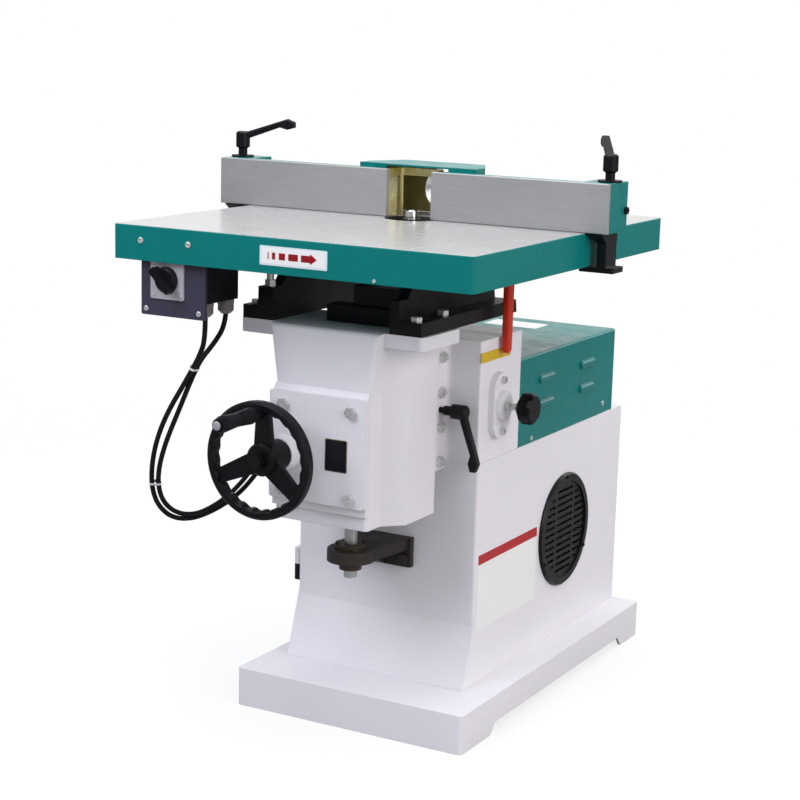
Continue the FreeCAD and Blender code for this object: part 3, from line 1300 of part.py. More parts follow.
save("fence_carrier_left", mirrored(carrier).translated(V(fence_shift, 0, 0)))
fence_screws = []
for side_x in (-1, 1):
    for share in plate_screw_x_shares:
        x = fence_shift + side_x * (foot_inner + share * (fence_half - end_block - foot_inner))
        fence_screws.append(hexagon(plate_screw_head_r * 2, plate_screw_head_h,
                                    (x, wall_rear_y, fence_low_z + fence_height / 2), (0, 1, 0)))
    place = (fence_shift + side_x * fence_half, plate_rear_y + carrier_depth * side_screw_share,
             fence_low_z + side_screw_up)
    fence_screws.append(socket_head(plate_screw_head_r, plate_screw_head_h, plate_screw_hex_r, place,
                                    (side_x, 0, 0)))
save("fence_screws", group(fence_screws))

# Dust hood behind the gap, tapering to a round port, with a plated liner in its mouth
hood_front_y = wall_rear_y + flat_gap
hood_rear_y = hood_front_y + hood_depth
side_y = hood_front_y + hood_side
hood_low_z = fence_low_z + free_gap
hood_top_z = hood_low_z + hood_height
plan = [(-hood_half, hood_front_y), (hood_half, hood_front_y), (hood_half, side_y),
        (hood_rear_half, hood_rear_y),
        (-hood_rear_half, hood_rear_y), (-hood_half, side_y)]
dust_hood = prism_z(plan, hood_low_z, hood_top_z)
slope = math.hypot(hood_half - hood_rear_half, hood_rear_y - side_y)
shift = hood_sheet * slope / (hood_rear_y - side_y)
w = hood_sheet
rear_in = hood_rear_half - shift + w * (hood_half - hood_rear_half) / (hood_rear_y - side_y)
side_in = side_y - (shift - w) * (hood_rear_y - side_y) / (hood_half - hood_rear_half)
inner_plan = [(-hood_half + w, hood_front_y + w), (hood_half - w, hood_front_y + w), (hood_half - w, side_in),
              (rear_in, hood_rear_y - w), (-rear_in, hood_rear_y - w), (-hood_half + w, side_in)]
dust_hood = dust_hood.cut(prism_z(inner_plan, hood_low_z - overrun, hood_top_z - w))
dust_hood = dust_hood.cut(block(-hood_mouth_half, hood_mouth_half, hood_front_y - overrun,
                                hood_front_y + w + overrun, hood_low_z - overrun, hood_top_z - w))
port_z = hood_low_z + port_z_up
dust_hood = dust_hood.fuse(rod(port_r, (0, hood_rear_y - w, port_z), (0, hood_rear_y + port_length, port_z)))
dust_hood = dust_hood.cut(rod(port_r - port_wall, (0, hood_rear_y - w - overrun, port_z),
                              (0, hood_rear_y + port_length + overrun, port_z)))
save("dust_hood", dust_hood.removeSplitter())
liner_left = gap_left - liner_wall
liner_right = gap_right + liner_wall
liner_front_y = plate_rear_y + flat_gap
liner_rear_y = liner_front_y + liner_depth
bend_y = liner_rear_y - liner_wall - liner_corner_r
liner = block(liner_left, liner_right, liner_front_y, liner_rear_y, hood_low_z, fence_top_z)
liner = rounded(liner, liner_corner_r + liner_wall, (0, 0, 1), lambda c: c.y > bend_y)
opening = block(gap_left, gap_right, liner_front_y - overrun, liner_rear_y - liner_wall,
                hood_low_z - overrun, fence_top_z + overrun)
liner = liner.cut(rounded(opening, liner_corner_r, (0, 0, 1), lambda c: c.y > bend_y))
liner = liner.cut(block(gap_left + liner_side, gap_right - liner_side, bend_y, liner_rear_y + overrun,
                        hood_low_z - overrun, fence_top_z - liner_band))
save("hood_liner", liner)

# Fence clamps: lever on a post through the carrier, with a hook under the table skirt
hook_low_z = table_low_z - flat_gap * 2
post_top_z = fence_top_z + clamp_washer_t


def hook(post_x):
    # Bar with a braced top under the carrier's end and a foot that reaches under the table
    inner_x = post_x - hook_web / 2
    outer_x = post_x + hook_web / 2
    front_y = clamp_post_y - hook_width / 2
    rear_y = clamp_post_y + hook_width / 2
    top_z = fence_low_z - free_gap * 2
    low_z = hook_low_z - hook_toe_t
    brace_x = table_x + free_gap * 3
    brace_y = front_y - hook_brace_out
    bar = block(inner_x, outer_x, front_y, rear_y, low_z, top_z)
    bar = rounded(bar, hook_edge_r, (0, 0, 1), lambda c: True)
    foot = block(table_x - hook_toe, outer_x + hook_foot_out, front_y, rear_y, low_z, hook_low_z)
    foot = rounded(foot, hook_edge_r, (0, 0, 1), lambda c: True)
    brace = Part.makeLoft([
        loop([(brace_x, brace_y, top_z), (outer_x, brace_y, top_z), (outer_x, rear_y, top_z),
              (brace_x, rear_y, top_z)]),
        loop([(x, y, top_z - hook_brace_h) for x, y in
              ((inner_x, front_y), (outer_x, front_y), (outer_x, rear_y), (inner_x, rear_y))])], True, True)
    post = rod(clamp_post_r, (post_x, clamp_post_y, top_z - hook_edge_r),
               (post_x, clamp_post_y, post_top_z + lever_neck_h / 2))
    return bar.fuse(foot).fuse(brace).fuse(post).removeSplitter()


save("clamp_hook_right", hook(clamp_x + fence_shift))
save("clamp_hook_left", mirrored(hook(clamp_x - fence_shift)))
for side_x, name, reach in ((-1, "left", left_lever_aim), (1, "right", right_lever_aim)):
    post_x = fence_shift + side_x * clamp_x
    lever = clamp_lever((post_x, clamp_post_y, post_top_z + flat_gap), (0, 0, 1), reach)
    washer = rod(clamp_washer_r, (post_x, clamp_post_y, fence_top_z + flat_gap),
                 (post_x, clamp_post_y, post_top_z + flat_gap * 2))
    body = lever.fuse(washer)
    body = body.cut(rod(clamp_post_r + run_fit, (post_x, clamp_post_y, fence_top_z - overrun),
                        (post_x, clamp_post_y, post_top_z + lever_neck_h / 2 + overrun)))
    save("clamp_lever_" + name, body)

# Switch box: front panel on a deep box, rotary switch on a plate, glands below
panel_front_y = table_front_y + panel_setback
panel_rear_y = panel_front_y + panel_t
panel_left_x = panel_inset - table_x
panel_right_x = panel_left_x + panel_width
panel_top_z = table_under_z - box_roof_gap
panel_low_z = panel_top_z - panel_height
panel = block(panel_left_x, panel_right_x, panel_front_y, panel_rear_y, panel_low_z, panel_top_z)
panel = rounded(panel, panel_corner_r, (0, 1, 0), lambda c: True)
knob_x = panel_left_x + switch_plate_x_share * panel_width
knob_z = panel_low_z + switch_z_up
panel = panel.cut(rod(switch_shaft_r + run_fit, (knob_x, panel_front_y - overrun, knob_z),
                      (knob_x, panel_rear_y + overrun, knob_z)))
save("switch_panel", panel)
box_left_x = panel_left_x + box_inset
box_right_x = panel_right_x - box_inset
box_low_z = panel_low_z + box_up
box_rear_y = panel_rear_y + box_depth
switch_box = block(box_left_x, box_right_x, panel_rear_y, box_rear_y, box_low_z, table_under_z - flat_gap)
switch_box = rounded(switch_box, box_corner_r, (0, 0, 1), lambda c: c.y > panel_rear_y + overrun)
switch_box = switch_box.cut(block(box_left_x + box_wall, box_right_x - box_wall, panel_rear_y - overrun,
                                  box_rear_y - box_wall,
                                  box_low_z + box_wall, table_under_z - box_wall * 2))
save("switch_box", switch_box)
plate_left_x = knob_x - switch_plate_w / 2
switch_plate = block(plate_left_x, plate_left_x + switch_plate_w, panel_front_y - switch_plate_t,
                     panel_front_y,
                     knob_z - switch_plate_h / 2, knob_z + switch_plate_h / 2)
switch_plate = rounded(switch_plate, panel_corner_r, (0, 1, 0), lambda c: True)
switch_plate = switch_plate.cut(rod(switch_shaft_r + run_fit,
                                    (knob_x, panel_front_y - switch_plate_t - overrun, knob_z),
                                    (knob_x, panel_front_y + overrun, knob_z)))
save("switch_plate", switch_plate)
knob_y = panel_front_y - switch_plate_t - free_gap
knob = turned([(0, 0), (switch_r, 0), (switch_r, switch_h / 2), (switch_r - switch_h / 2, switch_h),
               (0, switch_h)], (knob_x, knob_y, knob_z), (0, -1, 0))
grip_reach = switch_r + switch_grip_over
knob_grip = block(knob_x - switch_grip_w / 2, knob_x + switch_grip_w / 2,
                  knob_y - switch_h - switch_grip_h, knob_y - switch_h / 2,
                  knob_z - grip_reach, knob_z + grip_reach)
knob = knob.fuse(knob_grip.rotated(V(knob_x, knob_y, knob_z), V(0, 1, 0), -switch_grip_turn))
knob = knob.fuse(rod(switch_shaft_r, (knob_x, panel_rear_y, knob_z), (knob_x, knob_y, knob_z)))
save("switch_knob", knob.removeSplitter())
glands = []
gland_low_z = box_low_z - gland_nut_h - gland_dome_h
gland_spots = [(panel_left_x + along, table_front_y + back) for along,
               back in zip(gland_from_left, gland_from_front)]
for x, y in gland_spots:
    nut = hexagon(gland_nut_flats, gland_nut_h, (x, y, box_low_z - gland_nut_h), (0, 0, 1))
    dome = turned([(0, 0), (gland_r - gland_dome_h / 3, 0), (gland_r, gland_dome_h / 3),
                   (gland_r, gland_dome_h), (0, gland_dome_h)], (x, y, gland_low_z), (0, 0, 1))
    glands.append(nut.fuse(dome))
save("box_glands", group(glands))
entries = []
for y in cable_entry_y:
    entries.append(turned([(0, 0), (entry_gland_r, 0), (entry_gland_r, entry_gland_h / 2),
                           (entry_gland_r - entry_gland_h / 4, entry_gland_h), (0, entry_gland_h)],
                          (-column_x, y, cable_entry_z), (-1, 0, 0)))
save("column_glands", group(entries))


def cord_path(points):
    # Straight runs joined by tangent arcs as large as the runs allow
    points = [V(*p) for p in points]
    edges = []
    start = points[0]
    radii = []
    for before, here, after in zip(points, points[1:], points[2:]):
        back = (before - here)
        ahead = (after - here)
        turn = math.pi - back.getAngle(ahead)
        reach = bend_share * min(back.Length, ahead.Length)
        radii.append(reach / math.tan(turn / 2))
        a = here + V(back).normalize() * reach
        b = here + V(ahead).normalize() * reach
        inward = (V(back).normalize() + V(ahead).normalize()).normalize()
        middle = here + inward * (radii[-1] / math.cos(turn / 2) - radii[-1])
        edges.append(Part.LineSegment(start, a).toShape())
        edges.append(Part.Arc(a, middle, b).toShape())
        start = b
    edges.append(Part.LineSegment(start, points[-1]).toShape())
    return Part.Wire(edges), radii


def cord(name, points):
    wire, radii = cord_path(points)
    first = wire.Edges[0]
    ring = Part.Wire(Part.makeCircle(cable_r, first.Vertexes[0].Point, first.tangentAt(first.FirstParameter)))
    tube = wire.makePipeShell([ring], True, True)
    section_volume = math.pi * cable_r ** 2 * wire.Length
    print(name, "length", round(wire.Length, 1), "radii", [round(r) for r in radii], "volume",
          round(tube.Volume / section_volume, 4))
    save(name, tube)


for name, (x, y), entry_y, route in zip(("cable_a", "cable_b"), gland_spots, cable_entry_y,
                                        (cable_a_route, cable_b_route)):
    way = [(a, b, cable_entry_z + c) for a, b, c in route]
    cord(name, [(x, y, gland_low_z)] + way + [(-column_x - entry_gland_h, entry_y, cable_entry_z)])
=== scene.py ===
import math

import bmesh
import bpy
from mathutils import Matrix, Vector


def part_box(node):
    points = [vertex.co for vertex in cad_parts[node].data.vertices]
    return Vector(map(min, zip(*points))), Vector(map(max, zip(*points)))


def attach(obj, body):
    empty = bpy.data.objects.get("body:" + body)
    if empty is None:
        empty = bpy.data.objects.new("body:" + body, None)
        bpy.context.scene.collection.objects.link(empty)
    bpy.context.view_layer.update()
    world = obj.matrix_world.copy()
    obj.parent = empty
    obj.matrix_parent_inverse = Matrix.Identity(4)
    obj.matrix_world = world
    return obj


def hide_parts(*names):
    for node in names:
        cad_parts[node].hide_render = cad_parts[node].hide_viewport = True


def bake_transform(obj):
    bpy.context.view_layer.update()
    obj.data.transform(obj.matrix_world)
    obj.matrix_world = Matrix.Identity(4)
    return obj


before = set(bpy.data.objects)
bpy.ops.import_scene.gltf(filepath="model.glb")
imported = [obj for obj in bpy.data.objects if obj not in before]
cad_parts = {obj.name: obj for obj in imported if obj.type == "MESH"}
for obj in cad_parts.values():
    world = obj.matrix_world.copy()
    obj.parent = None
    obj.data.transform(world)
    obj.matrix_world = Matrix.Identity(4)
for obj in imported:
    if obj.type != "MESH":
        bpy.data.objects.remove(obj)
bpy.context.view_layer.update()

# Plinth: a tray folded and welded from sheet steel that stands on the floor on two flanges.
# It is sprayed with a thick cool white enamel, which keeps a faint orange peel and softens the folds.
white_light = (0.752, 0.735, 0.775)
white_dark = (0.720, 0.703, 0.745)
noise_low, noise_high = 0.3, 0.7


def add(tree, kind, settings=None, **sockets):
    made = tree.nodes.new("ShaderNode" + kind)
    for key, value in (settings or {}).items():
        setattr(made, key, value)
    for key, value in sockets.items():
        made.inputs[key.replace("_", " ")].default_value = value
    return made


def bare_finish(name):
    finish = bpy.data.materials.new(name)
    finish.use_nodes = True
    tree = finish.node_tree
    shader = tree.nodes["Principled BSDF"]
    where = add(tree, "TexCoord").outputs["Object"]
    return finish, tree, shader, where


def noise(tree, where, scale, detail=2.0, stretch=None):
    if stretch:
        drawn_out = add(tree, "Mapping", Scale=stretch)
        tree.links.new(where, drawn_out.inputs["Vector"])
        where = drawn_out.outputs["Vector"]
    made = add(tree, "TexNoise", Scale=scale, Detail=detail)
    tree.links.new(where, made.inputs["Vector"])
    return made.outputs["Fac"]


def spread(tree, value, low, high):
    made = add(tree, "MapRange", From_Min=noise_low, From_Max=noise_high, To_Min=low, To_Max=high)
    tree.links.new(value, made.inputs["Value"])
    return made.outputs["Result"]


def two_tones(tree, value, dark, light):
    made = add(tree, "ValToRGB")
    for end, place, tone in zip(made.color_ramp.elements, (noise_low, noise_high), (dark, light)):
        end.position = place
        end.color = (*tone, 1.0)
    tree.links.new(value, made.inputs["Fac"])
    return made.outputs["Color"]


def clouded(tree, shader, where, dark, light, scale, detail=2.0):
    tones = two_tones(tree, noise(tree, where, scale, detail), dark, light)
    tree.links.new(tones, shader.inputs["Base Color"])


def polished(tree, shader, where, low, high, scale, detail=2.0):
    shine = spread(tree, noise(tree, where, scale, detail), low, high)
    tree.links.new(shine, shader.inputs["Roughness"])


def relief(tree, where, scale, strength, depth):
    return noise(tree, where, scale), strength, depth


def soft_edges(tree, shader, radius, layers):
    last = add(tree, "Bevel", {"samples": 4}, Radius=radius).outputs["Normal"]
    for height, strength, depth in layers:
        bump = add(tree, "Bump", Strength=strength, Distance=depth)
        tree.links.new(height, bump.inputs["Height"])
        tree.links.new(last, bump.inputs["Normal"])
        last = bump.outputs["Normal"]
    tree.links.new(last, shader.inputs["Normal"])


def enamel(name, light, dark, gloss=0.34, waviness=0.03, edge=0.0012):
    finish, tree, shader, where = bare_finish(name)
    clouded(tree, shader, where, dark, light, scale=5.0, detail=4.0)
    polished(tree, shader, where, low=gloss - 0.05, high=gloss + 0.06, scale=30.0)
    shader.inputs["Specular IOR Level"].default_value = 0.20
    shader.inputs["Coat Weight"].default_value = 0.05
    shader.inputs["Coat Roughness"].default_value = 0.12
    orange_peel = relief(tree, where, scale=22.0, strength=waviness, depth=0.0012)
    fine_grain = relief(tree, where, scale=420.0, strength=0.008, depth=0.0004)
    soft_edges(tree, shader, radius=edge, layers=[orange_peel, fine_grain])
    return finish


def dress(finish, *names):
    for name in names:
        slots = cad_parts[name].data.materials
        slots.clear()
        slots.append(finish)


sheet_white = enamel("white_sheet_enamel", white_light, white_dark)
dress(sheet_white, "base_plinth")

# Column: a closed cabinet of the same enamelled sheet, flared to a toe at the front.
# A plain white vinyl plate with a red head band is stuck on its right side.
dress(sheet_white, "column_shell")
to_right = (1, 0, 0)
to_top = (0, 0, 1)


def rounded_outline(width, height, corner):
    steps = 5
    points = []
    for quarter, (sx, sy) in enumerate(((1, 1), (-1, 1), (-1, -1), (1, -1))):
        for step in range(steps + 1):
            angle = math.pi / 2 * (quarter + step / steps)
            points.append((sx * (width / 2 - corner) + corner * math.cos(angle),
                           sy * (height / 2 - corner) + corner * math.sin(angle)))
    return points


def skin(made, rings, closed=False):
    rows = [[made.verts.new(point) for point in ring] for ring in rings]
    bands = list(zip(rows, rows[1:]))
    if closed:
        bands.append((rows[-1], rows[0]))
    for low, high in bands:
        for i in range(len(low)):
            j = (i + 1) % len(low)
            made.faces.new((low[i], low[j], high[j], high[i]))
    return rows


def piece_from(made, name, finishes, smooth_angle=None):
    bmesh.ops.recalc_face_normals(made, faces=made.faces)
    mesh = bpy.data.meshes.new(name)
    made.to_mesh(mesh)
    made.free()
    if smooth_angle:
        mesh.polygons.foreach_set("use_smooth", [True] * len(mesh.polygons))
        mesh.set_sharp_from_angle(angle=math.radians(smooth_angle))
    for finish in finishes:
        mesh.materials.append(finish)
    piece = bpy.data.objects.new(name, mesh)
    bpy.context.scene.collection.objects.link(piece)
    return piece


def solid_from_rings(name, rings, finish, smooth_angle=35.0):
    made = bmesh.new()
    rows = skin(made, rings)
    made.faces.new(list(reversed(rows[0])))
    made.faces.new(rows[-1])
    return piece_from(made, name, [finish], smooth_angle)


def facing(centre, normal, up=to_top):
    z = Vector(normal).normalized()
    x = Vector(up).cross(z).normalized()
    y = z.cross(x)
    turn = Matrix((x, y, z)).transposed().to_4x4()
    return Matrix.Translation(Vector(centre)) @ turn


def slab(name, outline, thickness, finish, place, body, crown=0.3):
    lip = thickness * crown
    cx = sum(p[0] for p in outline) / len(outline)
    cy = sum(p[1] for p in outline) / len(outline)
    reach = max(math.hypot(x - cx, y - cy) for x, y in outline)
    draw = 1 - lip / reach
    rings = [[(x, y, level) for x, y in outline] for level in (0, thickness - lip)]
    if crown:
        rings.append([(cx + (x - cx) * draw, cy + (y - cy) * draw, thickness) for x, y in outline])
    piece = solid_from_rings(name, rings, finish)
    piece.data.transform(place)
    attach(piece, body)


def print_film(name, colour, gloss=0.4):
    finish, tree, shader, where = bare_finish(name)
    faded_share = 0.965
    clouded(tree, shader, where, [faded_share * c for c in colour], colour, scale=320.0, detail=3.0)
    polished(tree, shader, where, low=gloss - 0.05, high=gloss + 0.08, scale=150.0)
    shader.inputs["Specular IOR Level"].default_value = 0.20
    return finish


white_film = print_film("white_film", (0.80, 0.80, 0.80))
red_film = print_film("red_film", (0.42, 0.022, 0.028))
film = 0.0005
column_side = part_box("column_shell")[1].x
label_width, label_height, label_corner = 0.232, 0.134, 0.003
label_y, label_z = 0.032, 0.228
slab("column_label", rounded_outline(label_width, label_height, label_corner), film, white_film,
     facing((column_side, label_y, label_z), to_right), "frame")
band_height, band_corner, band_film = 0.017, 0.0025, 0.00025
band_z = label_z + (label_height - band_height) / 2
slab("column_label_band", rounded_outline(label_width, band_height, band_corner), band_film, red_film,
     facing((column_side + film, label_y, band_z), to_right), "frame")

# Vent grille: a round pressed guard over the motor's air inlet, sprayed black.
# Three pan-head screws hold its rim to the column.
black_light = (0.0050, 0.0050, 0.0065)
black_dark = (0.0025, 0.0025, 0.0035)
black_enamel = enamel("black_enamel", black_light, black_dark, gloss=0.38, edge=0.0008)
dress(black_enamel, "vent_grille")


def zinc(name, tone=0.74, gloss=0.32, metal=0.65):
    finish, tree, shader, where = bare_finish(name)
    shader.inputs["Metallic"].default_value = metal
    dark_share, blue_share = 0.8, 0.985
    dark = (tone * dark_share, tone * dark_share, tone * dark_share)
    clouded(tree, shader, where, dark, (tone, tone, tone * blue_share), scale=180.0, detail=3.0)
    polished(tree, shader, where, low=gloss - 0.08, high=gloss + 0.1, scale=320.0)
    fine_grain = relief(tree, where, scale=900.0, strength=0.1, depth=0.0002)
    soft_edges(tree, shader, radius=0.0005, layers=[fine_grain])
    return finish


bright_zinc = zinc("bright_zinc")


def turns(steps):
    return [2 * math.pi * i / steps for i in range(steps)]


def circle(radius, height, steps):
    return [(radius * math.cos(a), radius * math.sin(a), height) for a in turns(steps)]


def drive_reach(drive, angle, size):
    if drive == "hex":
        return size * math.cos(math.pi / 6) / math.cos(angle % (math.pi / 3) - math.pi / 6)
    arm_share, least = 0.24, 1e-6
    off = (angle + math.pi / 4) % (math.pi / 2) - math.pi / 4
    return min(size / math.cos(off), size * arm_share / max(abs(math.sin(off)), least))


def screw(name, centre, normal, radius, height, drive, body, finish=bright_zinc):
    steps = 48
    head_shares = ((1.0, 0.0), (1.0, 0.45), (0.93, 0.78), (0.8, 0.94), (0.7, 1.0))
    drive_shares = ((1.0, 1.0), (0.94, 0.45), (0.5, 0.42))
    size = radius * {"hex": 0.56, "cross": 0.62}[drive]
    rings = [circle(radius * across, height * level, steps) for across, level in head_shares]
    for across, level in drive_shares:
        reach = [drive_reach(drive, a, size * across) for a in turns(steps)]
        rings.append([(r * math.cos(a), r * math.sin(a), height * level)
                      for r, a in zip(reach, turns(steps))])
    piece = solid_from_rings(name, rings, finish)
    piece.data.transform(facing(centre, normal))
    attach(piece, body)


grille_low, grille_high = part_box("vent_grille")
grille_y = (grille_low.y + grille_high.y) / 2
grille_z = (grille_low.z + grille_high.z) / 2
grille_screw_ring, grille_screw_radius, grille_screw_height = 0.0985, 0.0042, 0.0022
grille_screw_turns = (90, 210, 330)
for number, degrees in enumerate(grille_screw_turns):
    turn = math.radians(degrees)
    centre = (grille_high.x, grille_y + grille_screw_ring * math.cos(turn),
              grille_z + grille_screw_ring * math.sin(turn))
    screw("grille_screw_%d" % number, centre, to_right, grille_screw_radius, grille_screw_height, "cross",
          "frame", black_enamel)

# Door: a flat enamelled lid over the opening at the left of the column.
# It hangs on two black lift-off hinges near its front edge and closes with a black quarter-turn latch.
dress(sheet_white, "access_door")
dress(black_enamel, "door_hinges")


def moulded(name, light, dark, gloss=0.42, grain=0.06):
    finish, tree, shader, where = bare_finish(name)
    clouded(tree, shader, where, dark, light, scale=40.0, detail=3.0)
    polished(tree, shader, where, low=gloss - 0.06, high=gloss + 0.08, scale=90.0)
    shader.inputs["Specular IOR Level"].default_value = 0.18
    fine_grain = relief(tree, where, scale=1300.0, strength=grain, depth=0.0003)
    soft_edges(tree, shader, radius=0.0008, layers=[fine_grain])
    return finish


black_moulding = moulded("black_moulding", (0.0050, 0.0050, 0.0070), (0.0030, 0.0030, 0.0045))
dress(black_moulding, "door_latch")

# Spindle head: a grey iron casting, filled and enamelled, with the machined dovetail way on its front.
# A plain yellow plate is stuck near the top of its right face.
cast_white = enamel("white_cast_enamel", white_light, white_dark, waviness=0.06, edge=0.002)
dress(cast_white, "head_casting", "lock_flange")
yellow_film = print_film("yellow_film", (0.62, 0.42, 0.02))
head_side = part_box("head_casting")[1].x
head_plate_width, head_plate_height, head_plate_corner = 0.110, 0.0175, 0.001
head_plate_y, head_plate_z = -0.041, 0.6355
slab("head_plate", rounded_outline(head_plate_width, head_plate_height, head_plate_corner), film,
     yellow_film, facing((head_side, head_plate_y, head_plate_z), to_right), "frame")

# Gib and slide lock: a strip along the dovetail takes up the play of the slide and is set by nutted screws.
# It is enamelled with the head, and the hooked lever that locks the slide is a black moulding.
dress(cast_white, "slide_gib")
dress(bright_zinc, "gib_screws")
dress(black_moulding, "slide_lock_lever")

# Spindle lock: a sprung plunger in an enamelled flange on the right of the head.
# Its pin is turned steel, its star knob a black moulding, and two socket screws hold the flange.
dress(bright_zinc, "lock_flange_screws", "lock_pin")
dress(black_moulding, "star_knob")

# Rear cover: a folded sheet hood over the belt, in teal green enamel, with pressed louvers on both sides.
# Cross-head screws hold it along its lower edge, and a blank white plate is stuck on its top.
green_light = (0.002, 0.170, 0.162)
green_dark = (0.001, 0.160, 0.152)
green_sheet = enamel("green_sheet_enamel", green_light, green_dark, gloss=0.30)
dress(green_sheet, "rear_cover")
cover_middle, cover_half = 0.012, 0.173
cover_screw_radius, cover_screw_height = 0.0045, 0.0024
cover_screws = ((0.112, 0.464), (0.427, 0.475))
for number, (along, height) in enumerate(cover_screws):
    for side, way in (("right", 1), ("left", -1)):
        centre = (cover_middle + way * cover_half, along, height)
        screw("cover_screw_%d_%s" % (number, side), centre, (way, 0, 0), cover_screw_radius,
              cover_screw_height, "cross", "frame")
cover_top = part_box("rear_cover")[1].z
cover_plate_width, cover_plate_depth, cover_plate_corner = 0.110, 0.062, 0.002
cover_plate_x, cover_plate_y = 0.010, 0.400
to_back = (0, 1, 0)
slab("cover_plate", rounded_outline(cover_plate_width, cover_plate_depth, cover_plate_corner), film,
     white_film, facing((cover_plate_x, cover_plate_y, cover_top), to_top, up=to_back),
     "frame")

# Motor: an upright induction motor inside the column, with a finned housing in dark grey enamel.
# Its shaft carries a turned steel pulley under the rear cover, as the spindle does.
motor_grey = enamel("motor_grey_enamel", (0.10, 0.11, 0.12), (0.08, 0.088, 0.096), gloss=0.42)
dress(motor_grey, "motor_body")
ground_steel = zinc("ground_steel", tone=0.52, gloss=0.36, metal=0.8)
dress(ground_steel, "motor_rotor", "spindle_pulley")

# Belt: a flat endless belt of black rubber on fabric, slightly dusty where it runs.
# It runs round both pulleys under the rear cover and is held by its own tension.
belt_rubber = moulded("belt_rubber", (0.030, 0.029, 0.028), (0.016, 0.016, 0.016), gloss=0.62, grain=0.2)
dress(belt_rubber, "drive_belt")

# Spindle: a ground and polished shaft that runs in two bearings in the head under a steel cap.
# Its short nose stands in the hole of the table and takes the cutters.
polished_steel = zinc("polished_steel", gloss=0.16, metal=1.0)
dress(polished_steel, "spindle_shaft")
dress(ground_steel, "spindle_bearings", "spindle_cap")

# Lift bracket: a dark cast arm bolted to the column front, which holds the nut of the lift screw.
# The nut is bronze, coloured nearly black all over, and the bolts are left in the colour of the arm.
iron_dark = enamel("dark_iron", (0.040, 0.034, 0.030), (0.018, 0.016, 0.015), gloss=0.5, waviness=0.12,
                   edge=0.002)
dress(iron_dark, "lift_bracket", "bracket_bolts")


def yellow_metal(name, dark, light, metal, low, high, cloud_scale, polish_scale, detail=2.0):
    finish, tree, shader, where = bare_finish(name)
    shader.inputs["Metallic"].default_value = metal
    clouded(tree, shader, where, dark, light, cloud_scale, detail)
    polished(tree, shader, where, low, high, polish_scale)
    return finish


# The nut's bronze is coloured nearly black all over.
near_black_bronze = yellow_metal("near_black_bronze", (0.030, 0.024, 0.016), (0.070, 0.052, 0.030), metal=0.6,
                            low=0.38, high=0.58, cloud_scale=60.0, polish_scale=200.0)
dress(near_black_bronze, "lift_nut")

# Knee: an enamelled iron casting that slides on the head's dovetail and carries the table arms.
# Its front is closed by the gear cover, held by hexagon bolts, with a plain black plate in a brass rim.
dress(cast_white, "knee_casting", "gear_cover")
dress(bright_zinc, "cover_bolts")
rim_brass = yellow_metal("rim_brass", (0.30, 0.23, 0.10), (0.42, 0.34, 0.16), metal=0.8,
                         low=0.26, high=0.42, cloud_scale=120.0, polish_scale=260.0)
black_film = print_film("black_film", (0.008, 0.008, 0.012), gloss=0.34)
to_front = (0, -1, 0)
cover_face_y = -0.32825
plate_x, plate_z, plate_corner = 0.0485, 0.4965, 0.002
rim_width, rim_height, rim_border = 0.0410, 0.0530, 0.0013
rim_thickness, panel_thickness = 0.0008, 0.0004
slab("plate_rim", rounded_outline(rim_width, rim_height, plate_corner), rim_thickness, rim_brass,
     facing((plate_x, cover_face_y, plate_z), to_front), "knee")
slab("plate_panel", rounded_outline(rim_width - 2 * rim_border, rim_height - 2 * rim_border, plate_corner),
     panel_thickness, black_film, facing((plate_x, cover_face_y - rim_thickness, plate_z), to_front),
     "knee")

# Handwheel: a black moulded wheel with a finger-grip rim and three spokes on a blackened shaft.
# The revolving grip is a black moulding with a grey cap, and a black dial sits behind the hub.
dress(black_moulding, "handwheel", "handle_grip", "wheel_dial")
dress(black_enamel, "handwheel_shaft")
cap_grey = moulded("cap_grey", (0.36, 0.355, 0.39), (0.28, 0.275, 0.31), gloss=0.4)
grip_low, grip_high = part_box("handle_grip")
grip_end = ((grip_low.x + grip_high.x) / 2, grip_low.y, (grip_low.z + grip_high.z) / 2)
cap_steps = 32
cap_profile = ((0.0072, -0.0004), (0.0072, 0.0006), (0.0064, 0.0012), (0.0034, 0.0017), (0.0012, 0.0018))
grip_cap = solid_from_rings("grip_cap", [circle(*level, cap_steps) for level in cap_profile], cap_grey)
grip_cap.data.transform(facing(grip_end, to_front))
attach(grip_cap, "grip")

# Lift screw: a turned steel screw that hangs in the knee on thrust collars and runs in the nut below.
# A toothed wheel at its top is driven by the one on the handwheel's shaft.
dress(ground_steel, "lift_screw")

# Table arms: two black cast angle arms on the knee, tied across, with a levelling stud at the front left.
# Hexagon bolts hold them to the knee and the table to them.
dress(black_enamel, "table_arm_left", "table_arm_right", "arm_cross_tie")
dress(bright_zinc, "arm_bolts", "levelling_stud")

# Table clamp: a flat lever in orange enamel that hangs at the outside of the right arm.
# It is fixed on a zinc-plated stud through the arm.
orange_enamel = enamel("orange_enamel", (0.56, 0.034, 0.013), (0.50, 0.028, 0.010), gloss=0.28)
dress(orange_enamel, "table_clamp_lever")
dress(bright_zinc, "table_clamp_stud")
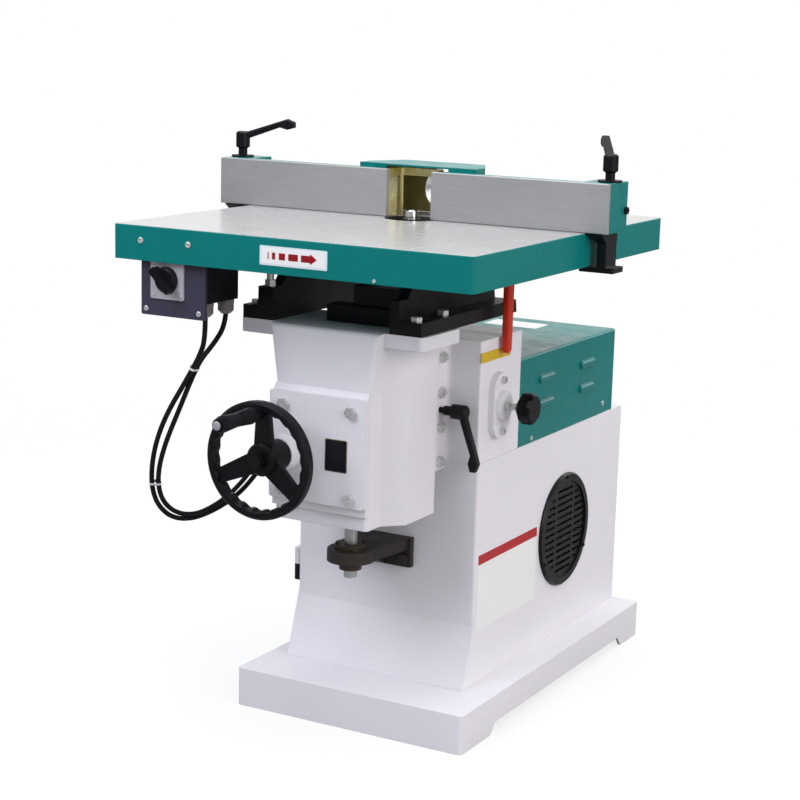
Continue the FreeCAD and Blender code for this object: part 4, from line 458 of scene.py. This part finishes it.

# Table: a ribbed iron casting with a ground top and green enamelled edges and underside.
# The ground face keeps fine lines along the table and a soft reflection. The bore is bare iron, coloured
# nearly black as painted shade for the dark inside of the hole.
table_finish, table_tree, table_shader, table_where = bare_finish("table_ground_and_green")
table_low, table_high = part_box("table_top")
# Painted shade: the bore's bare iron wall is coloured nearly black to stand for the shade inside the hole.
bore_iron_and_shade_dark, bore_iron_and_shade_light = (0.030, 0.028, 0.026), (0.055, 0.052, 0.048)
ground_dark, ground_light = (0.395, 0.396, 0.392), (0.432, 0.433, 0.428)
top_depth = 0.0006
spindle_x, spindle_y, bore_reach = 0.012, -0.03225, 0.0485
spot = add(table_tree, "SeparateXYZ")
table_tree.links.new(table_where, spot.inputs["Vector"])
is_top = add(table_tree, "Math", {"operation": "GREATER_THAN"})
is_top.inputs[1].default_value = table_high.z - top_depth
table_tree.links.new(spot.outputs["Z"], is_top.inputs[0])
flat_spot = add(table_tree, "CombineXYZ")
for axis in "XY":
    table_tree.links.new(spot.outputs[axis], flat_spot.inputs[axis])
from_spindle = add(table_tree, "VectorMath", {"operation": "DISTANCE"})
from_spindle.inputs[1].default_value = (spindle_x, spindle_y, 0.0)
table_tree.links.new(flat_spot.outputs["Vector"], from_spindle.inputs[0])
in_bore = add(table_tree, "Math", {"operation": "LESS_THAN"})
in_bore.inputs[1].default_value = bore_reach
table_tree.links.new(from_spindle.outputs["Value"], in_bore.inputs[0])


def blended(tree, below, above, share=None):
    made = add(tree, "Mix", {"data_type": "RGBA"}, Factor=0.5)
    below_socket, above_socket, mixed_socket = made.inputs[6], made.inputs[7], made.outputs[2]
    tree.links.new(below, below_socket)
    tree.links.new(above, above_socket)
    if share is not None:
        tree.links.new(share, made.inputs["Factor"])
    return mixed_socket


edge_noise = noise(table_tree, table_where, scale=5.0, detail=4.0)
green_tone = two_tones(table_tree, edge_noise, green_dark, green_light)
bore_noise = noise(table_tree, table_where, scale=90.0, detail=3.0)
bore_iron_and_shade_tone = two_tones(table_tree, bore_noise, bore_iron_and_shade_dark, bore_iron_and_shade_light)
grind = noise(table_tree, table_where, scale=420.0, detail=3.0, stretch=(0.02, 1.0, 1.0))
ground_tone = two_tones(table_tree, grind, ground_dark, ground_light)
# Painted shade: inside the bore the green gives way to the near-black tone of bare iron and painted shade.
wall_tone = blended(table_tree, green_tone, bore_iron_and_shade_tone, share=in_bore.outputs["Value"])
table_tone = blended(table_tree, wall_tone, ground_tone, share=is_top.outputs["Value"])
table_tree.links.new(table_tone, table_shader.inputs["Base Color"])
top_gloss = add(table_tree, "MapRange", To_Min=0.30, To_Max=0.24)
table_tree.links.new(is_top.outputs["Value"], top_gloss.inputs["Value"])
gloss_drift = add(table_tree, "Math", {"operation": "ADD"})
table_tree.links.new(top_gloss.outputs["Result"], gloss_drift.inputs[0])
gloss_noise = noise(table_tree, table_where, scale=30.0, detail=3.0)
table_tree.links.new(spread(table_tree, gloss_noise, low=-0.03, high=0.04), gloss_drift.inputs[1])
table_tree.links.new(gloss_drift.outputs["Value"], table_shader.inputs["Roughness"])
top_metal = add(table_tree, "MapRange", To_Min=0.0, To_Max=0.25)
table_tree.links.new(is_top.outputs["Value"], top_metal.inputs["Value"])
table_tree.links.new(top_metal.outputs["Result"], table_shader.inputs["Metallic"])
table_shader.inputs["Specular IOR Level"].default_value = 0.20
table_peel = relief(table_tree, table_where, scale=22.0, strength=0.03, depth=0.0010)
soft_edges(table_tree, table_shader, radius=0.0015, layers=[table_peel])
dress(table_finish, "table_top")

# Direction plate: a small printed plate on the front of the table that shows the feed direction.
# Red blocks that grow into an arrow are printed on white in a pale frame.
# Socket screws show beside it in the table's edge.
arrow_x, arrow_z, arrow_width, arrow_height = 0.0285, 0.822, 0.121, 0.030
arrow_border, frame_corner, panel_corner = 0.003, 0.0015, 0.001
frame_film, panel_film, mark_film = 0.0008, 0.0003, 0.0002
pale_film = print_film("pale_film", (0.66, 0.74, 0.76))
arrow_red = print_film("arrow_red", (0.27, 0.008, 0.012))
slab("arrow_frame", rounded_outline(arrow_width, arrow_height, frame_corner), frame_film, pale_film,
     facing((arrow_x, table_low.y, arrow_z), to_front), "knee")
panel_width, panel_height = arrow_width - 2 * arrow_border, arrow_height - 2 * arrow_border
slab("arrow_panel", rounded_outline(panel_width, panel_height, panel_corner), panel_film, white_film,
     facing((arrow_x, table_low.y - frame_film, arrow_z), to_front), "knee")
mark_place = facing((arrow_x - arrow_width / 2, table_low.y - frame_film - panel_film, arrow_z), to_front)
mark_half, head_half = 0.00525, 0.00825
mark_shares = ((0.126, 0.140), (0.190, 0.238), (0.292, 0.384), (0.432, 0.575))
for number, (start, end) in enumerate(mark_shares):
    left, right = start * arrow_width, end * arrow_width
    outline = [(right, mark_half), (left, mark_half), (left, -mark_half), (right, -mark_half)]
    slab("arrow_mark_%d" % number, outline, mark_film, arrow_red, mark_place, "knee")
tail, neck, tip = [share * arrow_width for share in (0.62, 0.755, 0.852)]
outline = [(tip, 0), (neck, head_half), (neck, mark_half), (tail, mark_half), (tail, -mark_half),
           (neck, -mark_half), (neck, -head_half)]
slab("arrow_head", outline, mark_film, arrow_red, mark_place, "knee", crown=0.0)
skirt_screw_height = 0.0022
skirt_screws = ((-0.258, 0.826, 0.0052), (-0.166, 0.826, 0.0052), (0.171, 0.799, 0.0030))
for number, (along, height, radius) in enumerate(skirt_screws):
    screw("skirt_screw_%d" % number, (along, table_low.y, height), to_front, radius, skirt_screw_height,
          "hex", "knee")

# Switch: a sheet steel box under the table with a grey-blue front panel, a grey plate and a black knob.
# Cross-head screws show at the foot of the panel and in the corners of the plate.
panel_grey = enamel("panel_grey_enamel", (0.048, 0.046, 0.072), (0.040, 0.038, 0.060), gloss=0.36)
box_grey = enamel("box_grey_enamel", (0.012, 0.011, 0.015), (0.008, 0.008, 0.011), gloss=0.4)
plate_film = print_film("plate_film", (0.40, 0.39, 0.42), gloss=0.34)
dress(panel_grey, "switch_panel")
dress(box_grey, "switch_box")
dress(plate_film, "switch_plate")
dress(black_moulding, "switch_knob")
panel_low, panel_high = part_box("switch_panel")
panel_left_inset, panel_right_inset, panel_foot_inset = 0.010, 0.012, 0.010
panel_screw_radius, panel_screw_height = 0.0045, 0.0022
for number, along in enumerate((panel_low.x + panel_left_inset, panel_high.x - panel_right_inset)):
    screw("panel_screw_%d" % number, (along, panel_low.y, panel_low.z + panel_foot_inset), to_front,
          panel_screw_radius, panel_screw_height, "cross", "knee")
plate_low, plate_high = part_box("switch_plate")
plate_inset, plate_screw_radius, plate_screw_height = 0.0055, 0.0024, 0.0012
for number, along in enumerate((plate_low.x + plate_inset, plate_high.x - plate_inset)):
    for level, height in enumerate((plate_low.z + plate_inset, plate_high.z - plate_inset)):
        screw("plate_screw_%d_%d" % (number, level), (along, plate_low.y, height), to_front,
              plate_screw_radius, plate_screw_height, "cross", "knee")

# Cables: two round rubber leads that leave the glands of the switch box, hang down and enter the column.
# Their upper end is on the knee and the lower on the column.
gland_grey = moulded("gland_grey", (0.21, 0.195, 0.185), (0.17, 0.158, 0.150), gloss=0.5)
dress(gland_grey, "box_glands", "column_glands")
cable_rubber = moulded("cable_rubber", (0.007, 0.007, 0.009), (0.004, 0.004, 0.005), gloss=0.48, grain=0.1)
cable_diameter = 0.0084
cable_routes = {
    "cable_a": [
        (-0.168, -0.38225, 0.706), (-0.168, -0.38225, 0.668), (-0.179, -0.38125, 0.642),
        (-0.194, -0.37925, 0.618), (-0.217, -0.37625, 0.584), (-0.242, -0.37225, 0.549),
        (-0.264, -0.36725, 0.513), (-0.282, -0.36125, 0.475), (-0.295, -0.35325, 0.435),
        (-0.303, -0.34225, 0.397), (-0.303, -0.32525, 0.362), (-0.290, -0.30225, 0.337),
        (-0.272, -0.27225, 0.331), (-0.258, -0.23625, 0.337), (-0.248, -0.19625, 0.348),
        (-0.242, -0.15625, 0.364), (-0.240, -0.11925, 0.385), (-0.238, -0.08725, 0.405),
        (-0.230, -0.06725, 0.418), (-0.215, -0.05325, 0.425), (-0.195, -0.04625, 0.428),
        (-0.179, -0.04625, 0.428)],
    "cable_b": [
        (-0.164, -0.33025, 0.706), (-0.165, -0.33125, 0.685), (-0.177, -0.34325, 0.657),
        (-0.190, -0.36325, 0.631), (-0.200, -0.37025, 0.604), (-0.214, -0.37025, 0.574),
        (-0.230, -0.36825, 0.541), (-0.248, -0.36325, 0.509), (-0.266, -0.35725, 0.475),
        (-0.283, -0.34925, 0.436), (-0.293, -0.33825, 0.400), (-0.294, -0.32125, 0.367),
        (-0.282, -0.29825, 0.345), (-0.266, -0.26925, 0.339), (-0.255, -0.23325, 0.346),
        (-0.246, -0.19425, 0.361), (-0.241, -0.16025, 0.380), (-0.239, -0.13425, 0.397),
        (-0.236, -0.11325, 0.410), (-0.228, -0.09525, 0.420), (-0.214, -0.08325, 0.425),
        (-0.195, -0.07625, 0.428), (-0.179, -0.07625, 0.428)],
}


def line_through(name, points):
    curve = bpy.data.curves.new(name, "CURVE")
    curve.dimensions = "3D"
    spline = curve.splines.new("NURBS")
    spline.points.add(len(points) - 1)
    for place, point in zip(spline.points, points):
        place.co = (*point, 1.0)
    spline.order_u = 3
    spline.use_endpoint_u = True
    spline.resolution_u = 8
    holder = bpy.data.objects.new(name, curve)
    bpy.context.scene.collection.objects.link(holder)
    bpy.context.view_layer.update()
    mesh = bpy.data.meshes.new_from_object(holder)
    line = [v.co.copy() for v in mesh.vertices]
    bpy.data.objects.remove(holder)
    bpy.data.meshes.remove(mesh)
    return line


def tube_along(name, line, radius, finish):
    sides, smooth_angle = 16, 60.0
    rings = []
    side = None
    for i, point in enumerate(line):
        ahead = (line[min(i + 1, len(line) - 1)] - line[max(i - 1, 0)]).normalized()
        if side is None:
            side = ahead.orthogonal().normalized()
        side = (side - ahead * side.dot(ahead)).normalized()
        other = ahead.cross(side)
        rings.append([point + radius * (math.cos(a) * side + math.sin(a) * other) for a in turns(sides)])
    return solid_from_rings(name, rings, finish, smooth_angle)


cable_lines = []
for name, route in cable_routes.items():
    line = line_through(name + "_line", route)
    cable_lines.append(line)
    cable = tube_along(name + "_lead", line, cable_diameter / 2, cable_rubber)
    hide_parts(name)
    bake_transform(cable)

# Cable ties: two narrow white nylon straps, pulled tight round both cables, each with its square lock.
tie_nylon = moulded("tie_nylon", (0.74, 0.74, 0.76), (0.66, 0.66, 0.68), gloss=0.4)
tie_width, tie_strap, tie_play = 0.0038, 0.0010, 0.0002
tie_inside = cable_diameter / 2 + tie_play
tie_outside = cable_diameter / 2 + tie_strap
tie_section = ((tie_inside, -0.5), (tie_outside, -0.5), (tie_outside, 0.5), (tie_inside, 0.5))
lock_across, lock_overhang, lock_thickness, lock_lift, lock_edge = 0.0052, 0.0014, 0.0040, 0.0012, 0.0006
bend_steps = 12
bends = [math.pi * k / bend_steps - math.pi / 2 for k in range(bend_steps + 1)]
tie_loop = [(1, a) for a in bends] + [(-1, a + math.pi) for a in bends]
tie_places = (Vector((-0.195, -0.374, 0.618)), Vector((-0.297, -0.342, 0.406)))
for number, near in enumerate(tie_places):
    middles, ways = [], []
    for line in cable_lines:
        at = min(range(1, len(line) - 1), key=lambda i: (line[i] - near).length)
        middles.append(line[at])
        ways.append((line[at + 1] - line[at - 1]).normalized())
    along = (ways[0] + ways[1]).normalized()
    apart = middles[1] - middles[0]
    apart -= along * apart.dot(along)
    across, reach = apart.normalized(), apart.length / 2
    out = along.cross(across)
    centre = (middles[0] + middles[1]) / 2
    strap = bmesh.new()
    rings = [[centre + across * (side * reach + radius * math.cos(a)) + out * (radius * math.sin(a))
              + along * (level * tie_width) for side, a in tie_loop] for radius, level in tie_section]
    skin(strap, rings, closed=True)
    lock_turn = Matrix((across, along, out)).transposed().to_4x4()
    lock_size = Matrix.Diagonal((lock_across, tie_width + lock_overhang, lock_thickness, 1.0))
    lock_place = Matrix.Translation(centre - out * (tie_outside + lock_lift)) @ lock_turn @ lock_size
    lock = bmesh.ops.create_cube(strap, size=1.0, matrix=lock_place)
    lock_edges = list({edge for corner in lock["verts"] for edge in corner.link_edges})
    bmesh.ops.bevel(strap, geom=lock_edges, offset=lock_edge, segments=2, affect="EDGES")
    cable_tie = piece_from(strap, "cable_tie_%d" % number, [tie_nylon])
    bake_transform(cable_tie)

# Fence: two extruded aluminium plates on green enamelled carriers, with black screws behind and in the ends.
# The plates are satin and slightly clouded, with fine lines along them.
cloud_dark, cloud_light = (0.315, 0.315, 0.315), (0.365, 0.365, 0.362)
brushed_dark, brushed_light = (0.305, 0.305, 0.305), (0.380, 0.380, 0.377)
fence_alloy, alloy_tree, alloy_shader, alloy_where = bare_finish("fence_alloy")
alloy_shader.inputs["Metallic"].default_value = 0.4
cloud_noise = noise(alloy_tree, alloy_where, scale=9.0, detail=5.0)
cloud_tone = two_tones(alloy_tree, cloud_noise, cloud_dark, cloud_light)
brushed = noise(alloy_tree, alloy_where, scale=500.0, detail=3.0, stretch=(0.03, 1.0, 1.0))
brushed_tone = two_tones(alloy_tree, brushed, brushed_dark, brushed_light)
alloy_tree.links.new(blended(alloy_tree, cloud_tone, brushed_tone), alloy_shader.inputs["Base Color"])
polished(alloy_tree, alloy_shader, alloy_where, low=0.38, high=0.50, scale=8.0, detail=5.0)
brush_strength, brush_depth = 0.03, 0.0002
soft_edges(alloy_tree, alloy_shader, radius=0.0006, layers=[(brushed, brush_strength, brush_depth)])
dress(fence_alloy, "fence_plate_left", "fence_plate_right")
green_cast = enamel("green_cast_enamel", green_light, green_dark, gloss=0.30, waviness=0.05, edge=0.0016)
dress(green_cast, "fence_carrier_left", "fence_carrier_right")
dress(black_moulding, "fence_screws")

# Dust hood: a welded sheet hood behind the gap, green outside, yellow zinc plated inside, under a flat lid.
# A rolled sleeve with a beaded end is welded round the hole in its back and takes the hose.
hood_low, hood_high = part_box("dust_hood")
hood_x = (hood_low.x + hood_high.x) / 2
hood_sheet, hood_side_depth, hood_depth = 0.003, 0.034, 0.105
mouth_half, hood_half, rear_half = 0.060, 0.112, 0.077
side_fold, rear_fold = 0.0007, 0.0023
hood_front = hood_low.y
hood_side = hood_front + hood_side_depth
hood_rear = hood_front + hood_depth
hood_floor = hood_low.z
hood_lid = hood_high.z - hood_sheet
outside = [(mouth_half, hood_front), (hood_half, hood_front), (hood_half, hood_side), (rear_half, hood_rear)]
inside = [(mouth_half, hood_front + hood_sheet), (hood_half - hood_sheet, hood_front + hood_sheet),
          (hood_half - hood_sheet, hood_side - side_fold), (rear_half - rear_fold, hood_rear - hood_sheet)]
wall_starts, mouth_corners, rear_left, rear_right = (0, 1, 2, 4, 5, 6), (0, 7), 3, 4
green_face, zinc_face, sleeve_face = range(3)
hood_mesh = bmesh.new()


def hood_point(x, y, z):
    return hood_mesh.verts.new((hood_x + x, y, z))


def hood_skin(corners, finish):
    hood_mesh.faces.new(corners).material_index = finish


plans = [[(-x, y) for x, y in plan] + [(x, y) for x, y in reversed(plan)] for plan in (outside, inside)]
outer_foot, inner_foot = [[hood_point(x, y, hood_floor) for x, y in plan] for plan in plans]
outer_head, inner_head = [[hood_point(x, y, hood_lid) for x, y in plan] for plan in plans]
for i in wall_starts:
    hood_skin((outer_foot[i], outer_foot[i + 1], outer_head[i + 1], outer_head[i]), green_face)
    hood_skin((inner_foot[i], inner_foot[i + 1], inner_head[i + 1], inner_head[i]), zinc_face)
    hood_skin((outer_foot[i], outer_foot[i + 1], inner_foot[i + 1], inner_foot[i]), green_face)
    hood_skin((outer_head[i], outer_head[i + 1], inner_head[i + 1], inner_head[i]), green_face)
for i in mouth_corners:
    hood_skin((outer_foot[i], outer_head[i], inner_head[i], inner_foot[i]), green_face)
port_radius, port_wall, port_bead, port_up, port_steps = 0.040, 0.0025, 0.0015, 0.041, 48
bead_start, bead_rise, bead_fall = 0.005, 0.004, 0.0015
port_z, port_end = hood_floor + port_up, hood_high.y
sleeve = ((port_radius, hood_rear), (port_radius, port_end - bead_start),
          (port_radius + port_bead, port_end - bead_rise), (port_radius + port_bead, port_end - bead_fall),
          (port_radius, port_end), (port_radius - port_wall, port_end),
          (port_radius - port_wall, hood_rear - hood_sheet))
port_rings = [[hood_point(-radius * math.sin(a), y, port_z + radius * math.cos(a)) for a in turns(port_steps)]
              for radius, y in sleeve]
sleeve_skins = [green_face] * (len(sleeve) - 2) + [sleeve_face]
for near_ring, far_ring, finish in zip(port_rings, port_rings[1:], sleeve_skins):
    for k in range(port_steps):
        after = (k + 1) % port_steps
        hood_skin((near_ring[k], near_ring[after], far_ring[after], far_ring[k]), finish)
middle_feet = [hood_point(0, y, hood_floor) for y in (hood_rear, hood_rear - hood_sheet)]
middle_heads = [hood_point(0, y, hood_lid) for y in (hood_rear, hood_rear - hood_sheet)]
half_turn = port_steps // 2
for feet, heads, ring, foot, head, finish in (
        (outer_foot, outer_head, port_rings[0], middle_feet[0], middle_heads[0], green_face),
        (inner_foot, inner_head, port_rings[-1], middle_feet[1], middle_heads[1], zinc_face)):
    hood_skin([foot, feet[rear_left], heads[rear_left], head] + ring[:half_turn + 1], finish)
    hood_skin([head, heads[rear_right], feet[rear_right], foot] + ring[half_turn:] + ring[:1], finish)
for outer, inner, middles in ((outer_foot, inner_foot, middle_feet), (outer_head, inner_head, middle_heads)):
    hood_skin((outer[rear_left], middles[0], outer[rear_right], inner[rear_right], middles[1],
               inner[rear_left]), green_face)
lid_plan = plans[0][1:-1]
lid_low, lid_high = [[hood_point(x, y, z) for x, y in lid_plan] for z in (hood_lid, hood_high.z)]
hood_skin(lid_low, zinc_face)
hood_skin(lid_high, green_face)
for i in range(len(lid_plan)):
    j = (i + 1) % len(lid_plan)
    hood_skin((lid_low[i], lid_low[j], lid_high[j], lid_high[i]), green_face)
hood_zinc = moulded("hood_zinc", (0.54, 0.47, 0.18), (0.40, 0.345, 0.12), gloss=0.5)
hood_shell = piece_from(hood_mesh, "hood_shell", [green_sheet, hood_zinc, bright_zinc], smooth_angle=35.0)
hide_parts("dust_hood")
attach(hood_shell, "fence")

# Hood liner: a folded sheet with a yellow zinc finish that closes the sides of the gap between the plates.
# It is cut away behind the cutter, and a bright band is left along its top.
yellow_zinc = yellow_metal("yellow_zinc", (0.66, 0.58, 0.24), (0.80, 0.74, 0.44), metal=0.85,
                           low=0.24, high=0.40, cloud_scale=35.0, polish_scale=80.0, detail=4.0)
dress(yellow_zinc, "hood_liner")

# Fence clamps: black cast hooks reach under the edges of the table and are drawn up by clamp levers.
# The levers are black mouldings.
dress(black_enamel, "clamp_hook_left", "clamp_hook_right")
dress(black_moulding, "clamp_lever_left", "clamp_lever_right")

# Studio floor: a plain pale sheet that keeps the soft shadow of the machine and runs out into white.
# It throws little light back, so that upright faces stay darker than sloping ones.
floor_half = 60.0
floor_mesh = bpy.data.meshes.new("studio_floor")
floor_mesh.from_pydata([(-floor_half, -floor_half, 0), (floor_half, -floor_half, 0),
                        (floor_half, floor_half, 0), (-floor_half, floor_half, 0)], [], [(0, 1, 2, 3)])
studio_floor = bpy.data.objects.new("studio_floor", floor_mesh)
bpy.context.scene.collection.objects.link(studio_floor)
floor_paint, floor_tree, floor_shader, floor_where = bare_finish("studio_floor")
floor_rays = add(floor_tree, "LightPath")
floor_tone = add(floor_tree, "MapRange", To_Min=0.28, To_Max=0.85)
floor_tree.links.new(floor_rays.outputs["Is Camera Ray"], floor_tone.inputs["Value"])
floor_tree.links.new(floor_tone.outputs["Result"], floor_shader.inputs["Base Color"])
floor_shader.inputs["Roughness"].default_value = 0.9
floor_from_middle = add(floor_tree, "VectorMath", {"operation": "LENGTH"})
floor_tree.links.new(floor_where, floor_from_middle.inputs[0])
floor_white = add(floor_tree, "MapRange", {"interpolation_type": "SMOOTHSTEP"}, From_Min=0.4, From_Max=3.0,
                  To_Min=0.78, To_Max=1.0)
floor_tree.links.new(floor_from_middle.outputs["Value"], floor_white.inputs["Value"])
floor_share = add(floor_tree, "Math", {"operation": "MULTIPLY"})
floor_tree.links.new(floor_rays.outputs["Is Camera Ray"], floor_share.inputs[0])
floor_tree.links.new(floor_white.outputs["Result"], floor_share.inputs[1])
floor_glow = add(floor_tree, "Emission", Strength=1.0)
floor_mix = add(floor_tree, "MixShader")
floor_tree.links.new(floor_share.outputs["Value"], floor_mix.inputs["Fac"])
floor_tree.links.new(floor_shader.outputs["BSDF"], floor_mix.inputs[1])
floor_tree.links.new(floor_glow.outputs["Emission"], floor_mix.inputs[2])
floor_tree.links.new(floor_mix.outputs["Shader"], floor_tree.nodes["Material Output"].inputs["Surface"])
floor_mesh.materials.append(floor_paint)

# Studio sky: white where it is seen directly, and an even pale light on the machine.
# In bright metal it is mirrored white at the left rear and fades to grey at the other sides.
sky = bpy.data.worlds.new("studio_sky")
bpy.context.scene.world = sky
sky.use_nodes = True
sky_tree = sky.node_tree
sky_rays = add(sky_tree, "LightPath")
sky_light = sky_tree.nodes["Background"]
sky_light.inputs["Color"].default_value = (0.95, 0.96, 1.0, 1.0)
sky_light.inputs["Strength"].default_value = 0.54
sky_way = add(sky_tree, "VectorMath", {"operation": "DOT_PRODUCT"})
sky_way.inputs[1].default_value = (-0.55, 0.83, 0.0)
sky_tree.links.new(add(sky_tree, "TexCoord").outputs["Generated"], sky_way.inputs[0])
sky_strength = add(sky_tree, "MapRange", From_Min=0.40, From_Max=0.92, To_Min=0.18, To_Max=1.0)
sky_tree.links.new(sky_way.outputs["Value"], sky_strength.inputs["Value"])
sky_mirrored = add(sky_tree, "Background", Color=(1.0, 1.0, 1.0, 1.0))
sky_tree.links.new(sky_strength.outputs["Result"], sky_mirrored.inputs["Strength"])
sky_seen = add(sky_tree, "Background", Color=(1.0, 1.0, 1.0, 1.0), Strength=1.0)
last_sky = sky_light.outputs["Background"]
sky_layers = (("Is Glossy Ray", sky_mirrored), ("Is Transmission Ray", sky_seen), ("Is Camera Ray", sky_seen))
for ray, backdrop in sky_layers:
    sky_mix = add(sky_tree, "MixShader")
    sky_tree.links.new(sky_rays.outputs[ray], sky_mix.inputs["Fac"])
    sky_tree.links.new(last_sky, sky_mix.inputs[1])
    sky_tree.links.new(backdrop.outputs["Background"], sky_mix.inputs[2])
    last_sky = sky_mix.outputs["Shader"]
sky_tree.links.new(last_sky, sky_tree.nodes["World Output"].inputs["Surface"])


# Lamps: broad soft panels above, high at the front left and at the right, with a weak one behind.
# The front one is slightly cool and the right one slightly warm.
def lamp(name, place, aim, width, power, tint=(1.0, 1.0, 1.0)):
    light = bpy.data.lights.new(name, "AREA")
    light.shape = "RECTANGLE"
    light.size = width
    light.size_y = width
    light.energy = power
    light.color = tint
    holder = bpy.data.objects.new(name, light)
    holder.location = place
    holder.rotation_euler = (Vector(aim) - Vector(place)).to_track_quat("-Z", "Y").to_euler()
    bpy.context.scene.collection.objects.link(holder)


lamp("lamp_above", (0.2, 0.0, 3.4), aim=(0.0, 0.0, 0.4), width=3.0, power=92.0)
lamp("lamp_front", (-1.3, -2.7, 3.1), aim=(0.0, 0.0, 0.4), width=2.0, power=92.0, tint=(0.87, 0.90, 1.0))
lamp("lamp_right", (3.4, -1.0, 1.8), aim=(0.0, 0.1, 0.5), width=2.4, power=70.0, tint=(1.0, 0.955, 0.93))
lamp("lamp_back", (1.5, 3.4, 1.9), aim=(0.0, 0.0, 0.5), width=2.0, power=26.0)

# Camera: it stands at the photograph's viewing angle, right of the front and a little above the table.
# Its lens and its slight roll are those that were fitted to the corners of the machine.
azimuth, elevation, roll = math.radians(28.87), math.radians(11.37), math.radians(1.56)
camera_place = Vector((1.5603, -2.86385, 1.1834))
focal_length, sensor_width = 85.5, 36.0
camera_back = Vector((math.sin(azimuth) * math.cos(elevation), -math.cos(azimuth) * math.cos(elevation),
                      math.sin(elevation)))
sideways = Vector((math.cos(azimuth), math.sin(azimuth), 0.0))
upright = camera_back.cross(sideways)
camera_right = sideways * math.cos(roll) + upright * math.sin(roll)
camera_up = upright * math.cos(roll) - sideways * math.sin(roll)
camera_turn = Matrix((camera_right, camera_up, camera_back)).transposed().to_4x4()
lens = bpy.data.cameras.new("photo_camera")
lens.lens = focal_length
lens.sensor_width = sensor_width
camera = bpy.data.objects.new("photo_camera", lens)
camera.matrix_world = Matrix.Translation(camera_place) @ camera_turn
bpy.context.scene.collection.objects.link(camera)
bpy.context.scene.camera = camera
bpy.context.scene.view_settings.view_transform = "Standard"
